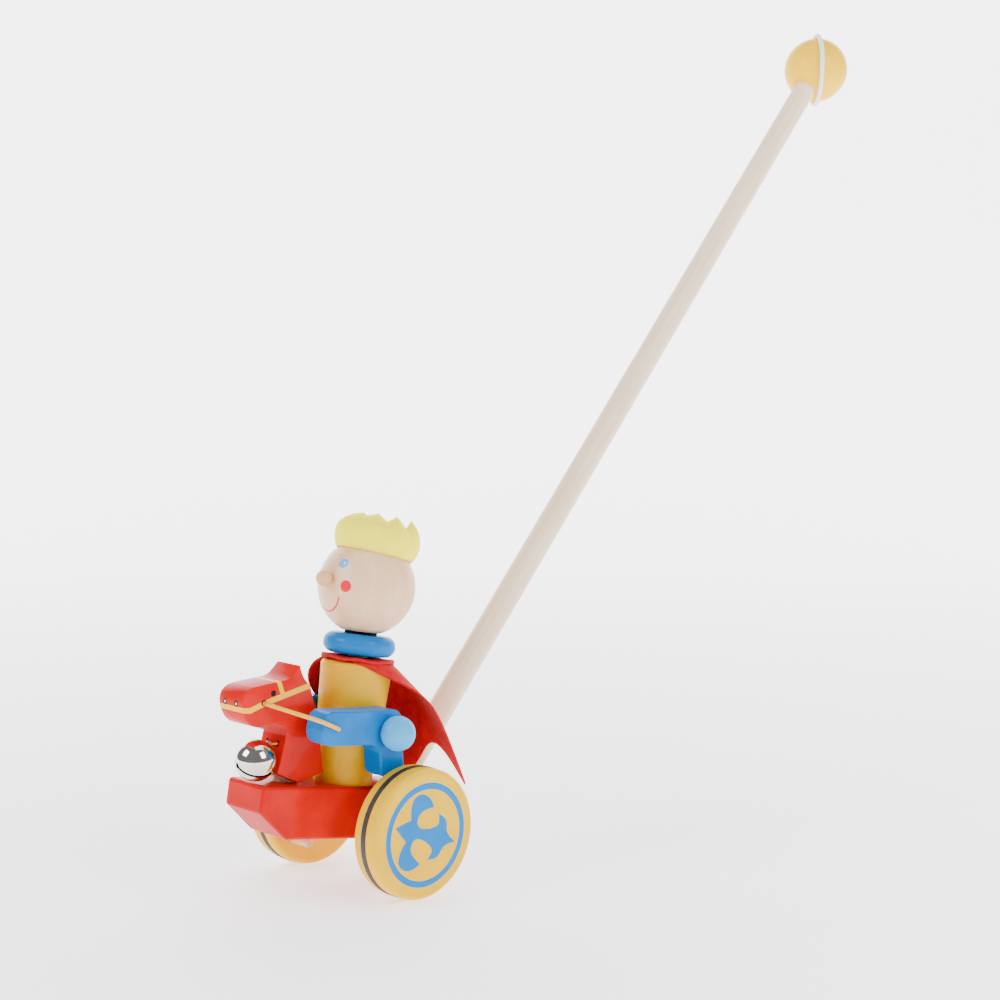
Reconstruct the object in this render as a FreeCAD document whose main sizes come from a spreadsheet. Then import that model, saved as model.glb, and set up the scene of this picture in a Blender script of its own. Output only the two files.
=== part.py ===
"""Push-along toy: a crowned rider behind a red horse, on a two-wheeled base with a push rod.

Everything is drawn in the chassis frame, whose origin is the middle of the axle: +X along
the axle to the toy's left, -Y forwards, +Z up from the base.  One placement then stands the
chassis on its wheels with its nose up by the angle in the sheet.
"""
import FreeCAD, Part
import Sketcher
import math
import os

Vector = FreeCAD.Vector

# ------------------------------------------------------------------ driving dimensions (mm, degrees)
SIZES = [
    ("nose_up", 10.0, "how far the front of the toy is tipped up on its axle"),
    ("wheel_radius", 35.0, "wooden wheel"),
    ("wheel_width", 18.6, "wooden wheel, face to face"),
    ("wheel_inner_face", 36.4, "from the middle plane to a wheel's inner face"),
    ("rim_round", 3.0, "rounding of both wheel rims"),
    ("band_width", 3.4, "rubber tread band"),
    ("band_depth", 1.6, "how deep the band sits in its groove"),
    ("band_proud", 0.3, "how far the band stands out of the wheel"),
    ("band_offset", 7.0, "from the wheel's inner face to its groove"),
    ("axle_radius", 2.5, "steel axle"),
    ("axle_grip", 13.0, "depth of the axle's hole in each wheel"),
    ("peg_radius", 2.3, "drive peg in each wheel"),
    ("peg_circle", 24.5, "from the axle to a drive peg"),
    ("peg_reach", 15.0, "how far a peg stands out of its wheel"),
    ("peg_grip", 9.0, "depth of a peg's hole in its wheel"),
    ("peg_angle", 54.0, "left peg's angle about the axle, from the rear"),
    ("running_gap", 0.06, "radial clearance of a turning fit"),
    ("glue_gap", 0.03, "radial clearance of a glued fit"),
    ("side_gap", 0.4, "clearance between pieces that move side by side"),
    ("base_front", 80.7, "from the axle forward to the base's front face"),
    ("base_rear", 42.0, "from the axle back to the base's rear face"),
    ("base_top", 19.0, "height of the base's top over the axle"),
    ("base_drop", 9.0, "depth of the base's underside below the axle"),
    ("base_bow", 15.8, "half width of the base at its front"),
    ("base_beam", 18.6, "half width of the base beside the wheels"),
    ("base_round", 2.0, "rounding of the base's edges"),
    ("bow_face", 14.0, "height of the upright front face"),
    ("bow_slope", 19.0, "length of the slope under the front"),
    ("trunk_seat", 15.5, "from the axle forward to the trunk's centre line"),
    ("trunk_height", 66.0, "rider's trunk"),
    ("waist_radius", 16.0, "trunk at its foot"),
    ("chest_radius", 20.0, "trunk at its top"),
    ("trunk_round", 3.0, "rounding of the trunk's top edge"),
    ("foot_dowel_radius", 5.0, "dowel between trunk and base"),
    ("foot_dowel_sink", 14.0, "how deep that dowel goes into each of them"),
    ("collar_lift", 3.8, "space for the gathered cape under the collar"),
    ("collar_radius", 20.0, "blue collar ring"),
    ("collar_thickness", 11.4, "blue collar ring"),
    ("neck_radius", 5.0, "neck dowel"),
    ("neck_sink", 24.0, "how deep the neck dowel goes into trunk and head"),
    ("washer_radius", 9.0, "black washer under the head"),
    ("washer_thickness", 1.5, "black washer under the head"),
    ("head_radius", 27.0, "round wooden head"),
    ("head_flat", 2.3, "height cut off the ball at the neck"),
    ("nose_radius", 4.4, "turned nose"),
    ("nose_spigot", 2.0, "radius of the spigot behind the nose"),
    ("nose_rise", 2.0, "height of the nose over the middle of the head"),
    ("crown_rim", 18.0, "height of the crown's edge over the middle of the head"),
    ("crown_height", 20.0, "felt crown"),
    ("felt", 1.2, "thickness of the felt"),
    ("shoulder_height", 51.5, "height of the shoulder dowel over the axle"),
    ("shoulder_radius", 3.0, "shoulder dowel"),
    ("arm_inner_face", 19.6, "from the middle plane to a lever's inner face"),
    ("arm_thickness", 14.4, "blue lever"),
    ("arm_round", 1.2, "rounding of the lever's edges"),
    ("arm_above", 12.0, "height of the lever over the shoulder dowel"),
    ("arm_below", 7.4, "depth of the forearm below the shoulder dowel"),
    ("forearm_length", 46.0, "from the shoulder dowel forward to the hand's end"),
    ("elbow_forward", 6.1, "from the shoulder dowel forward to the front of the leg"),
    ("leg_width", 17.0, "leg of the lever, front to back"),
    ("leg_lean", 0.228, "how far the leg runs back for each unit down"),
    ("knob_radius", 9.4, "light blue shoulder ball"),
    ("knob_cut", 6.0, "from the ball's centre to the flat against the lever"),
    ("knob_grip", 8.0, "depth of the dowel's hole in the ball"),
    ("horse_thickness", 20.0, "red horse"),
    ("horse_length", 60.0, "from the muzzle to the back of the neck's foot"),
    ("horse_height", 62.0, "from the foot to the crest"),
    ("horse_tail", 37.5, "from the axle forward to the back of the neck's foot"),
    ("horse_lift", 0.8, "clearance between the horse's foot and the base"),
    ("horse_round", 1.6, "rounding of the horse's edges"),
    ("pivot_rise", 8.0, "height of the horse's pivot over the base"),
    ("pivot_setback", 55.0, "from the axle forward to the horse's pivot"),
    ("pivot_radius", 2.0, "pin that the horse rocks on"),
    ("tongue_thickness", 6.0, "upright tongue that carries the pin"),
    ("tongue_length", 11.0, "upright tongue, front to back"),
    ("tongue_sink", 14.0, "how deep the tongue sits in the base"),
    ("rein_radius", 1.1, "yellow rein cord"),
    ("mouth_forward", 83.0, "from the axle forward to the rein's hole in the mouth"),
    ("mouth_height", 61.0, "height of that hole over the axle"),
    ("hand_forward", 52.5, "from the axle forward to the rein's hole in the hand"),
    ("hand_height", 52.3, "height of that hole over the axle"),
    ("bell_radius", 10.9, "round bell"),
    ("bell_wall", 0.6, "sheet metal of the bell"),
    ("bell_forward", 80.2, "from the axle forward to the bell's centre"),
    ("bell_height", 31.5, "height of the bell's centre over the axle"),
    ("bell_aside", 4.5, "how far the bell hangs to the toy's left"),
    ("bell_slot", 1.2, "sound slot"),
    ("bell_seam", 0.15, "gap between the bell's two shells"),
    ("bell_cord_radius", 0.6, "gold cord that ties the bell on"),
    ("tie_height", 39.0, "height of the bell's hole through the neck"),
    ("tie_forward", 64.0, "from the axle forward to that hole"),
    ("rod_radius", 7.5, "push rod"),
    ("rod_angle", 58.1, "push rod's slope over the base"),
    ("rod_foot", 14.4, "from the axle back to the middle of the rod's foot"),
    ("rod_length", 624.0, "push rod, foot to end"),
    ("ball_radius", 22.0, "handle ball"),
    ("ball_grip", 26.0, "how deep the rod sits in the ball"),
    ("loop_radius", 1.5, "white hanging cord"),
]


class Size:
    """A number together with the sheet expression that gives it."""

    def __init__(self, value, text):
        self.value = value
        self.text = text

    def __add__(self, other):
        other = as_size(other)
        return Size(self.value + other.value, f"({self.text} + {other.text})")

    def __sub__(self, other):
        other = as_size(other)
        return Size(self.value - other.value, f"({self.text} - {other.text})")

    def __mul__(self, other):
        other = as_size(other)
        return Size(self.value * other.value, f"({self.text} * {other.text})")

    def __truediv__(self, other):
        other = as_size(other)
        return Size(self.value / other.value, f"({self.text} / {other.text})")

    def __neg__(self):
        return Size(-self.value, f"(0 - {self.text})")

    def __radd__(self, other):
        return as_size(other) + self

    def __rsub__(self, other):
        return as_size(other) - self

    def __rmul__(self, other):
        return as_size(other) * self


def as_size(number):
    return number if isinstance(number, Size) else Size(float(number), repr(float(number)))


def sine(angle):
    return Size(math.sin(math.radians(angle.value)), f"sin({angle.text})")


def cosine(angle):
    return Size(math.cos(math.radians(angle.value)), f"cos({angle.text})")


def root(square):
    return Size(math.sqrt(square.value), f"sqrt({square.text})")


doc = FreeCAD.newDocument("PushToy")
sheet = doc.addObject("Spreadsheet::Sheet", "Sizes")
size = {}
for row, (name, number, meaning) in enumerate(SIZES, start=1):
    sheet.set(f"A{row}", name)
    sheet.set(f"B{row}", str(number))
    sheet.set(f"C{row}", meaning)
    sheet.setAlias(f"B{row}", name)
    size[name] = Size(number, f"Sizes.{name}")
doc.recompute()

# ------------------------------------------------------------------ places worked out from the sheet
axle_height = size["wheel_radius"] + size["band_proud"]
wheel_outer_face = size["wheel_inner_face"] + size["wheel_width"]
trunk_y = -size["trunk_seat"]
trunk_top = size["base_top"] + size["trunk_height"]
collar_foot = trunk_top + size["collar_lift"]
collar_top = collar_foot + size["collar_thickness"]
head_foot = collar_top + size["washer_thickness"]
head_z = head_foot + size["head_radius"] - size["head_flat"]
arm_outer_face = size["arm_inner_face"] + size["arm_thickness"]
knob_x = arm_outer_face + size["side_gap"] + size["knob_cut"]
shoulder_to_axle = root(size["trunk_seat"] * size["trunk_seat"]
                        + size["shoulder_height"] * size["shoulder_height"])
leg_reach = shoulder_to_axle - size["peg_circle"] - size["peg_radius"] - size["side_gap"]
leg_front_drop = leg_reach * 0.94
leg_rear_drop = leg_reach * 0.858
pivot_y = -size["pivot_setback"]
pivot_z = size["base_top"] + size["pivot_rise"]
horse_foot = size["base_top"] + size["horse_lift"]
horse_half = size["horse_thickness"] / 2
rod_foot_y = size["rod_foot"]
BIG = 200.0


# ------------------------------------------------------------------ drawing helpers
def drive(thing, field, number):
    """Ties one property of an object to the sheet."""
    thing.setExpression(field, as_size(number).text)


def chassis_placement(x=0, y=0, z=0, turn=0, about=(1, 0, 0)):
    """Expression of a place in the chassis frame, carried by the tipped chassis."""
    chassis = (f"create(<<placement>>; create(<<vector>>; 0; 0; {axle_height.text});"
               f" create(<<rotation>>; create(<<vector>>; 1; 0; 0); 0 - {size['nose_up'].text}))")
    x, y, z, turn = (as_size(number).text for number in (x, y, z, turn))
    axis = f"create(<<vector>>; {about[0]}; {about[1]}; {about[2]})"
    local = (f"create(<<placement>>; create(<<vector>>; {x}; {y}; {z});"
             f" create(<<rotation>>; {axis}; {turn}))")
    return f"{chassis} * {local}"


def finish(piece, label, **place):
    piece.Label = label
    piece.setExpression("Placement", chassis_placement(**place))
    doc.recompute()
    return piece


def new_body(name):
    return doc.addObject("PartDesign::Body", f"{name}_body")


def new_sketch(body, plane, offset=0):
    """Sketch on one of the body's own planes, lifted off it by offset."""
    drawing = body.newObject("Sketcher::SketchObject", f"{body.Name}_sketch")
    planes = {feature.Role: feature for feature in body.Origin.OriginFeatures}
    drawing.AttachmentSupport = [(planes[plane], "")]
    drawing.MapMode = "FlatFace"
    drive(drawing, "AttachmentOffset.Base.z", offset)
    return drawing


def hold(drawing, kind, geometry, point, number):
    """Fixes one coordinate of a point, measured from the sketch's origin."""
    number = as_size(number)
    if number.text == "0.0":
        axis = -2 if kind == "DistanceX" else -1
        drawing.addConstraint(constraint("PointOnObject", geometry, point, axis))
        return
    index = drawing.addConstraint(constraint(kind, -1, 1, geometry, point, number.value))
    drive(drawing, f"Constraints[{index}]", number)


def constraint(*arguments):
    return Sketcher.Constraint(*arguments)


def draw_outline(drawing, corners):
    """Closed outline of straight lines through corners, each held by two distances."""
    points = [Vector(as_size(a).value, as_size(b).value, 0) for a, b in corners]
    first = drawing.GeometryCount
    for start, end in zip(points, points[1:] + points[:1]):
        drawing.addGeometry(Part.LineSegment(start, end))
    for index, (across, up) in enumerate(corners):
        line = first + index
        before = first + (index - 1) % len(corners)
        drawing.addConstraint(constraint("Coincident", before, 2, line, 1))
        hold(drawing, "DistanceX", line, 1, across)
        hold(drawing, "DistanceY", line, 1, up)


def draw_circle(drawing, across, up, radius):
    centre = Vector(as_size(across).value, as_size(up).value, 0)
    index = drawing.addGeometry(Part.Circle(centre, Vector(0, 0, 1), as_size(radius).value))
    hold(drawing, "DistanceX", index, 3, across)
    hold(drawing, "DistanceY", index, 3, up)
    limit = drawing.addConstraint(constraint("Radius", index, as_size(radius).value))
    drive(drawing, f"Constraints[{limit}]", radius)


def pad(body, drawing, length):
    feature = body.newObject("PartDesign::Pad", f"{body.Name}_pad")
    feature.Profile = drawing
    drive(feature, "Length", length)
    doc.recompute()
    return feature


def pocket(body, drawing, length=BIG, both_ways=False, upwards=False):
    """Cuts away from the sketch: downwards, upwards or both ways."""
    before = body.Shape.Volume
    feature = body.newObject("PartDesign::Pocket", f"{body.Name}_pocket")
    feature.Profile = drawing
    feature.Midplane = both_ways
    feature.Reversed = upwards
    drive(feature, "Length", length)
    doc.recompute()
    if body.Shape.Volume > before - 1e-3:
        raise RuntimeError(f"a pocket of {body.Name} cuts nothing")
    return feature


def revolve(body, drawing, axis="V_Axis"):
    feature = body.newObject("PartDesign::Revolution", f"{body.Name}_turned")
    feature.Profile = drawing
    feature.ReferenceAxis = (drawing, [axis])
    feature.Angle = 360
    doc.recompute()
    return feature


def round_edges(body, radius, wanted):
    """Fillet on the edges for which wanted(edge) is true."""
    tip = body.Tip
    names = [f"Edge{index}" for index, edge in enumerate(tip.Shape.Edges, start=1) if wanted(edge)]
    if not names:
        raise RuntimeError(f"no edge to round on {body.Name}")
    feature = body.newObject("PartDesign::Fillet", f"{body.Name}_round")
    feature.Base = (tip, names)
    drive(feature, "Radius", radius)
    doc.recompute()
    if feature.Shape.isNull() or not feature.Shape.isValid():
        raise RuntimeError(f"{feature.Name} with radius {as_size(radius).value} did not build")
    return feature


def every_edge(edge):
    return True


def middle(edge):
    return edge.CenterOfMass


def along_x(edge):
    direction = edge.tangentAt(edge.FirstParameter)
    return edge.Curve.TypeId == "Part::GeomLine" and abs(direction.x) > 0.999


def corner_at(across, up, reach=0.6):
    """Test for the edge along X whose middle lies at a place in the side view."""
    y, z = as_size(across).value, as_size(up).value

    def test(edge):
        centre = middle(edge)
        return along_x(edge) and math.hypot(centre.y - y, centre.z - z) < reach
    return test


def cylinder(label, radius, length, **place):
    """Plain turned piece, from its foot along its own Z."""
    piece = doc.addObject("Part::Cylinder", f"{label}_cylinder")
    drive(piece, "Radius", radius)
    drive(piece, "Height", length)
    return finish(piece, label, **place)


# ------------------------------------------------------------------ base
def base_block():
    """Boat-shaped block: narrow upright bow, sloping underneath, wider beside the wheels."""
    body = new_body("base_block")
    front, rear = -size["base_front"], size["base_rear"]
    bow, beam, foot = size["base_bow"], size["base_beam"], -size["base_drop"]
    shoulder_y = trunk_y
    plan = new_sketch(body, "XY_Plane", foot)
    draw_outline(plan, [(-bow, front), (bow, front), (beam, shoulder_y), (beam, rear), (-beam, rear),
                        (-beam, shoulder_y)])
    pad(body, plan, size["base_top"] - foot)
    lip = size["base_top"] - size["bow_face"]
    slope = new_sketch(body, "YZ_Plane")
    draw_outline(slope, [(front - 5, lip), (front, lip), (front + size["bow_slope"], foot),
                         (front + size["bow_slope"], foot - 5), (front - 5, foot - 5)])
    pocket(body, slope, both_ways=True)
    round_edges(body, size["base_round"], every_edge)

    bore = new_sketch(body, "YZ_Plane")
    draw_circle(bore, 0, 0, size["axle_radius"] + size["running_gap"])
    pocket(body, bore, both_ways=True)
    seat = new_sketch(body, "XY_Plane", size["base_top"])
    draw_circle(seat, 0, trunk_y, size["foot_dowel_radius"] + size["glue_gap"])
    pocket(body, seat, size["foot_dowel_sink"])
    mortise = new_sketch(body, "XY_Plane", size["base_top"])
    half_thick = size["tongue_thickness"] / 2 + size["glue_gap"]
    half_long = size["tongue_length"] / 2 + size["glue_gap"]
    draw_outline(mortise, [(-half_thick, pivot_y - half_long), (half_thick, pivot_y - half_long),
                           (half_thick, pivot_y + half_long), (-half_thick, pivot_y + half_long)])
    pocket(body, mortise, size["tongue_sink"] + size["glue_gap"])
    socket = body.newObject("PartDesign::SubtractiveCylinder", "rod_socket")
    drive(socket, "Radius", size["rod_radius"] + size["glue_gap"])
    drive(socket, "Height", 80)
    tilt = (f"create(<<placement>>; create(<<vector>>; 0; {rod_foot_y.text}; 0);"
            f" create(<<rotation>>; create(<<vector>>; 1; 0; 0); {size['rod_angle'].text} - 90))")
    socket.setExpression("Placement", tilt)
    return finish(body, "base_block")


# ------------------------------------------------------------------ wheels, bands, pegs, axle
def wheel(side, name):
    """Turned wheel with a groove for its band and blind holes for the axle and the peg."""
    body = new_body(name)
    inner, outer = side * size["wheel_inner_face"], side * wheel_outer_face
    radius = size["wheel_radius"]
    profile = new_sketch(body, "XY_Plane")
    draw_outline(profile, [(inner, 0), (inner, radius), (outer, radius), (outer, 0)])
    revolve(body, profile, "H_Axis")
    rim = radius.value - 0.01
    round_edges(body, size["rim_round"], lambda edge: edge.BoundBox.ZMax > rim and not along_x(edge))
    groove_sketch = new_sketch(body, "XY_Plane")
    near = inner + side * size["band_offset"]
    far = near + side * size["band_width"]
    floor = radius - size["band_depth"]
    draw_outline(groove_sketch, [(near, floor), (near, radius + 2), (far, radius + 2), (far, floor)])
    groove = body.newObject("PartDesign::Groove", f"{name}_groove")
    groove.Profile = groove_sketch
    groove.ReferenceAxis = (groove_sketch, ["H_Axis"])
    groove.Angle = 360
    doc.recompute()
    centre_hole = new_sketch(body, "YZ_Plane", inner)
    draw_circle(centre_hole, 0, 0, size["axle_radius"] + size["glue_gap"])
    pocket(body, centre_hole, size["axle_grip"], upwards=side > 0)
    peg_hole = new_sketch(body, "YZ_Plane", inner)
    peg_y, peg_z = peg_place(side)
    draw_circle(peg_hole, peg_y, peg_z, size["peg_radius"] + size["glue_gap"])
    pocket(body, peg_hole, size["peg_grip"], upwards=side > 0)
    return finish(body, name)


def peg_place(side):
    """The two pegs stand half a turn apart."""
    return (side * size["peg_circle"] * cosine(size["peg_angle"]),
            side * size["peg_circle"] * sine(size["peg_angle"]))


def tread_band(side, name):
    body = new_body(name)
    gap = size["glue_gap"]
    near = side * (size["wheel_inner_face"] + size["band_offset"] + gap)
    far = near + side * (size["band_width"] - 2 * gap)
    inside = size["wheel_radius"] - size["band_depth"] + gap
    outside = size["wheel_radius"] + size["band_proud"]
    profile = new_sketch(body, "XY_Plane")
    draw_outline(profile, [(near, inside), (near, outside), (far, outside), (far, inside)])
    revolve(body, profile, "H_Axis")
    return finish(body, name)


def wheel_peg(side, name):
    length = size["peg_reach"] + size["peg_grip"] - size["side_gap"]
    start = size["wheel_inner_face"] - size["peg_reach"]
    peg_y, peg_z = peg_place(side)
    return cylinder(name, size["peg_radius"], length, x=side * start, y=peg_y, z=peg_z,
                    turn=90 * side, about=(0, 1, 0))


def axle_spacer(side, name):
    """Wooden tube that keeps a wheel away from the base."""
    body = new_body(name)
    near = size["base_beam"] + size["side_gap"]
    length = size["wheel_inner_face"] - near - size["glue_gap"]
    drawing = new_sketch(body, "YZ_Plane", side * near)
    draw_circle(drawing, 0, 0, size["axle_radius"] + 2.5)
    draw_circle(drawing, 0, 0, size["axle_radius"] + size["glue_gap"])
    feature = pad(body, drawing, length)
    feature.Reversed = side < 0
    return finish(body, name)


def axle():
    length = 2 * (size["wheel_inner_face"] + size["axle_grip"] - size["side_gap"])
    return cylinder("axle", size["axle_radius"], length, x=-length / 2, turn=90, about=(0, 1, 0))


# ------------------------------------------------------------------ rider
def trunk():
    """Turned trunk, wider at the chest, drilled for its foot, neck and shoulder dowels."""
    body = new_body("trunk")
    profile = new_sketch(body, "XZ_Plane")
    draw_outline(profile, [(0, size["base_top"]), (size["waist_radius"], size["base_top"]),
                           (size["chest_radius"], trunk_top), (0, trunk_top)])
    revolve(body, profile)
    top = trunk_top.value - 0.01
    round_edges(body, size["trunk_round"], lambda edge: edge.BoundBox.ZMin > top)
    foot = new_sketch(body, "XY_Plane", size["base_top"])
    draw_circle(foot, 0, 0, size["foot_dowel_radius"] + size["glue_gap"])
    pocket(body, foot, size["foot_dowel_sink"], upwards=True)
    neck = new_sketch(body, "XY_Plane", trunk_top)
    draw_circle(neck, 0, 0, size["neck_radius"] + size["glue_gap"])
    pocket(body, neck, size["neck_sink"])
    shoulder = new_sketch(body, "YZ_Plane")
    draw_circle(shoulder, 0, size["shoulder_height"], size["shoulder_radius"] + size["glue_gap"])
    pocket(body, shoulder, both_ways=True)
    return finish(body, "trunk", y=trunk_y)


def collar_ring():
    """Bull-nosed ring threaded on the neck dowel."""
    body = new_body("collar_ring")
    half = size["collar_thickness"] / 2
    profile = new_sketch(body, "XZ_Plane")
    hole = size["neck_radius"] + size["running_gap"]
    draw_outline(profile, [(hole, collar_foot), (size["collar_radius"], collar_foot),
                           (size["collar_radius"], collar_top), (hole, collar_top)])
    revolve(body, profile)
    reach = size["collar_radius"].value - 0.01
    round_edges(body, half - 0.2,
                lambda edge: edge.BoundBox.XMax > reach and edge.BoundBox.ZLength < 0.01)
    return finish(body, "collar_ring", y=trunk_y)


def neck_washer():
    """Black washer between the collar and the head."""
    body = new_body("neck_washer")
    drawing = new_sketch(body, "XY_Plane", collar_top)
    draw_circle(drawing, 0, 0, size["washer_radius"])
    draw_circle(drawing, 0, 0, size["neck_radius"] + size["running_gap"])
    pad(body, drawing, size["washer_thickness"])
    return finish(body, "neck_washer", y=trunk_y)


def head():
    """Ball with a flat under it, drilled for the neck dowel and the nose."""
    body = new_body("head")
    ball = body.newObject("PartDesign::AdditiveSphere", "head_ball")
    drive(ball, "Radius", size["head_radius"])
    drive(ball, "Placement.Base.z", head_z)
    doc.recompute()
    flat = new_sketch(body, "XY_Plane", head_foot)
    draw_circle(flat, 0, 0, size["head_radius"])
    pocket(body, flat, size["head_radius"])
    neck = new_sketch(body, "XY_Plane", head_foot)
    draw_circle(neck, 0, 0, size["neck_radius"] + size["glue_gap"])
    pocket(body, neck, size["neck_sink"], upwards=True)
    nose_hole = new_sketch(body, "XZ_Plane", size["head_radius"] + 1)
    draw_circle(nose_hole, 0, head_z + size["nose_rise"], size["nose_spigot"] + size["glue_gap"])
    pocket(body, nose_hole, 8)
    return finish(body, "head", y=trunk_y)


def nose():
    """Small ball on a spigot, just clear of the face."""
    body = new_body("nose")
    face = size["head_radius"] + 0.6
    profile = new_sketch(body, "XY_Plane")
    spigot = size["nose_spigot"]
    draw_outline(profile, [(0, -(face + 1)), (spigot, -(face + 1)),
                           (spigot, 7.0 - face), (0, 7.0 - face)])
    revolve(body, profile)
    ball = body.newObject("PartDesign::AdditiveSphere", "nose_ball")
    drive(ball, "Radius", size["nose_radius"])
    drive(ball, "Placement.Base.y", -(face + 3.2))
    doc.recompute()
    trim = new_sketch(body, "XZ_Plane", size["head_radius"] + 0.1)
    draw_circle(trim, 0, 0, size["nose_radius"] + 2)
    draw_circle(trim, 0, 0, size["nose_spigot"])
    pocket(body, trim, 10)
    return finish(body, "nose", y=trunk_y, z=head_z + size["nose_rise"])


def crown():
    """Band of felt that leans in at the top, round the top of the head."""
    body = new_body("crown")
    rim = size["crown_rim"]
    grip = root(size["head_radius"] * size["head_radius"] - rim * rim) + 0.4
    felt = size["felt"]
    waist_z, top_z = head_z + rim + size["crown_height"] / 2, head_z + rim + size["crown_height"]
    rim_z = head_z + rim
    profile = new_sketch(body, "XZ_Plane")
    draw_outline(profile, [(grip, rim_z), (grip + felt, rim_z), (grip + felt + 0.6, waist_z),
                           (grip + felt - 3.5, top_z), (grip - 3.5, top_z), (grip + 0.6, waist_z)])
    revolve(body, profile)
    return finish(body, "crown", y=trunk_y)


# ------------------------------------------------------------------ arms
def arm(side, name):
    """Bell crank: a forearm that ends in the rein's hole, and a leg that the wheel peg pushes."""
    body = new_body(name)
    y0, z0 = trunk_y, size["shoulder_height"]
    forearm, above, below = size["forearm_length"], size["arm_above"], size["arm_below"]
    width, lean = size["leg_width"], size["leg_lean"]
    front = y0 - size["elbow_forward"]
    corners = {
        "hand_top": (y0 - forearm, z0 + above - 3, 6.0),
        "hand_foot": (y0 - forearm - 0.6, z0 - below - 1.5, 7.5),
        "elbow": (front, z0 - below, 7.0),
        "leg_front": (front + lean * (leg_front_drop - below), z0 - leg_front_drop, 5.0),
        "leg_rear": (front + lean * (leg_rear_drop - below) + width, z0 - leg_rear_drop, 5.0),
        "shoulder": (front + width - lean * (above + below), z0 + above, 6.0),
    }
    drawing = new_sketch(body, "YZ_Plane", side * size["arm_inner_face"])
    draw_outline(drawing, [(y, z) for y, z, bend in corners.values()])
    feature = pad(body, drawing, size["arm_thickness"])
    feature.Reversed = side < 0
    doc.recompute()
    for y, z, bend in corners.values():
        round_edges(body, bend, corner_at(y, z))
    faces = (size["arm_inner_face"].value, arm_outer_face.value)
    round_edges(body, size["arm_round"], lambda edge: edge.BoundBox.XLength < 0.01
                and min(abs(abs(middle(edge).x) - face) for face in faces) < 0.01)
    bore = new_sketch(body, "YZ_Plane")
    draw_circle(bore, y0, z0, size["shoulder_radius"] + size["running_gap"])
    draw_circle(bore, -size["hand_forward"], size["hand_height"], size["rein_radius"] + 0.2)
    pocket(body, bore, both_ways=True)
    return finish(body, name)


def shoulder_dowel():
    length = 2 * (knob_x - size["knob_cut"] + size["knob_grip"] - size["side_gap"])
    return cylinder("shoulder_dowel", size["shoulder_radius"], length, x=-length / 2, y=trunk_y,
                    z=size["shoulder_height"], turn=90, about=(0, 1, 0))


def shoulder_knob(side, name):
    """Ball with a flat towards the lever, glued on the end of the shoulder dowel."""
    body = new_body(name)
    ball = body.newObject("PartDesign::AdditiveSphere", f"{name}_ball")
    drive(ball, "Radius", size["knob_radius"])
    half_turn = FreeCAD.Rotation(Vector(0, 0, 1), 0 if side > 0 else 180)
    ball.Placement = FreeCAD.Placement(Vector(), half_turn)
    doc.recompute()
    flat = new_sketch(body, "YZ_Plane", -side * size["knob_cut"])
    draw_circle(flat, 0, 0, size["knob_radius"])
    pocket(body, flat, size["knob_radius"], upwards=side < 0)
    hole = new_sketch(body, "YZ_Plane", -side * size["knob_cut"])
    draw_circle(hole, 0, 0, size["shoulder_radius"] + size["glue_gap"])
    pocket(body, hole, size["knob_grip"], upwards=side > 0)
    return finish(body, name, x=side * knob_x, y=trunk_y, z=size["shoulder_height"])


# ------------------------------------------------------------------ horse
HORSE_OUTLINE = [
    # share of length from the back of the foot forwards, share of height, corner radius
    ("crest", 0.417, 1.000, 1.5),
    ("forelock", 0.530, 0.853, 8.0),
    ("muzzle", 0.983, 0.768, 5.0),
    ("chin", 0.988, 0.465, 8.0),
    ("throat", 0.472, 0.520, 5.0),
    ("chest", 0.522, 0.070, 2.0),
    ("foot", 0.277, 0.000, 3.0),
    ("heel", 0.000, 0.090, 2.0),
    ("nape", 0.165, 0.620, 20.0),
    ("poll", 0.300, 0.870, 6.0),
]


def horse_corner(length_share, height_share):
    return (-size["horse_tail"] - length_share * size["horse_length"],
            horse_foot + height_share * size["horse_height"])


def horse():
    """Flat horse's head and neck on a V-shaped foot, so that it can rock on its pin."""
    body = new_body("horse")
    drawing = new_sketch(body, "YZ_Plane", -horse_half)
    draw_outline(drawing, [horse_corner(along, up) for name, along, up, bend in HORSE_OUTLINE])
    pad(body, drawing, size["horse_thickness"])
    for name, along, up, bend in HORSE_OUTLINE:
        round_edges(body, bend, corner_at(*horse_corner(along, up)))
    side_face = horse_half.value
    round_edges(body, size["horse_round"], lambda edge: edge.BoundBox.XLength < 0.01
                and abs(abs(middle(edge).x) - side_face) < 0.01)
    slot = new_sketch(body, "YZ_Plane")
    reach = size["tongue_length"] / 2 + 1.6
    ceiling = pivot_z + size["tongue_length"] / 2 + 1.0
    draw_outline(slot, [(pivot_y - reach, 0), (pivot_y + reach, 0), (pivot_y + reach, ceiling),
                        (pivot_y - reach, ceiling)])
    pocket(body, slot, size["tongue_thickness"] + 2 * size["side_gap"], both_ways=True)
    pin_hole = new_sketch(body, "YZ_Plane", -horse_half - 1)
    draw_circle(pin_hole, pivot_y, pivot_z, size["pivot_radius"] + size["glue_gap"])
    pocket(body, pin_hole, size["horse_thickness"] - 1, upwards=True)
    holes = new_sketch(body, "YZ_Plane")
    draw_circle(holes, -size["mouth_forward"], size["mouth_height"], size["rein_radius"] + 0.2)
    draw_circle(holes, -size["tie_forward"], size["tie_height"], size["bell_cord_radius"] + 0.3)
    pocket(body, holes, both_ways=True)
    return finish(body, "horse")


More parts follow.
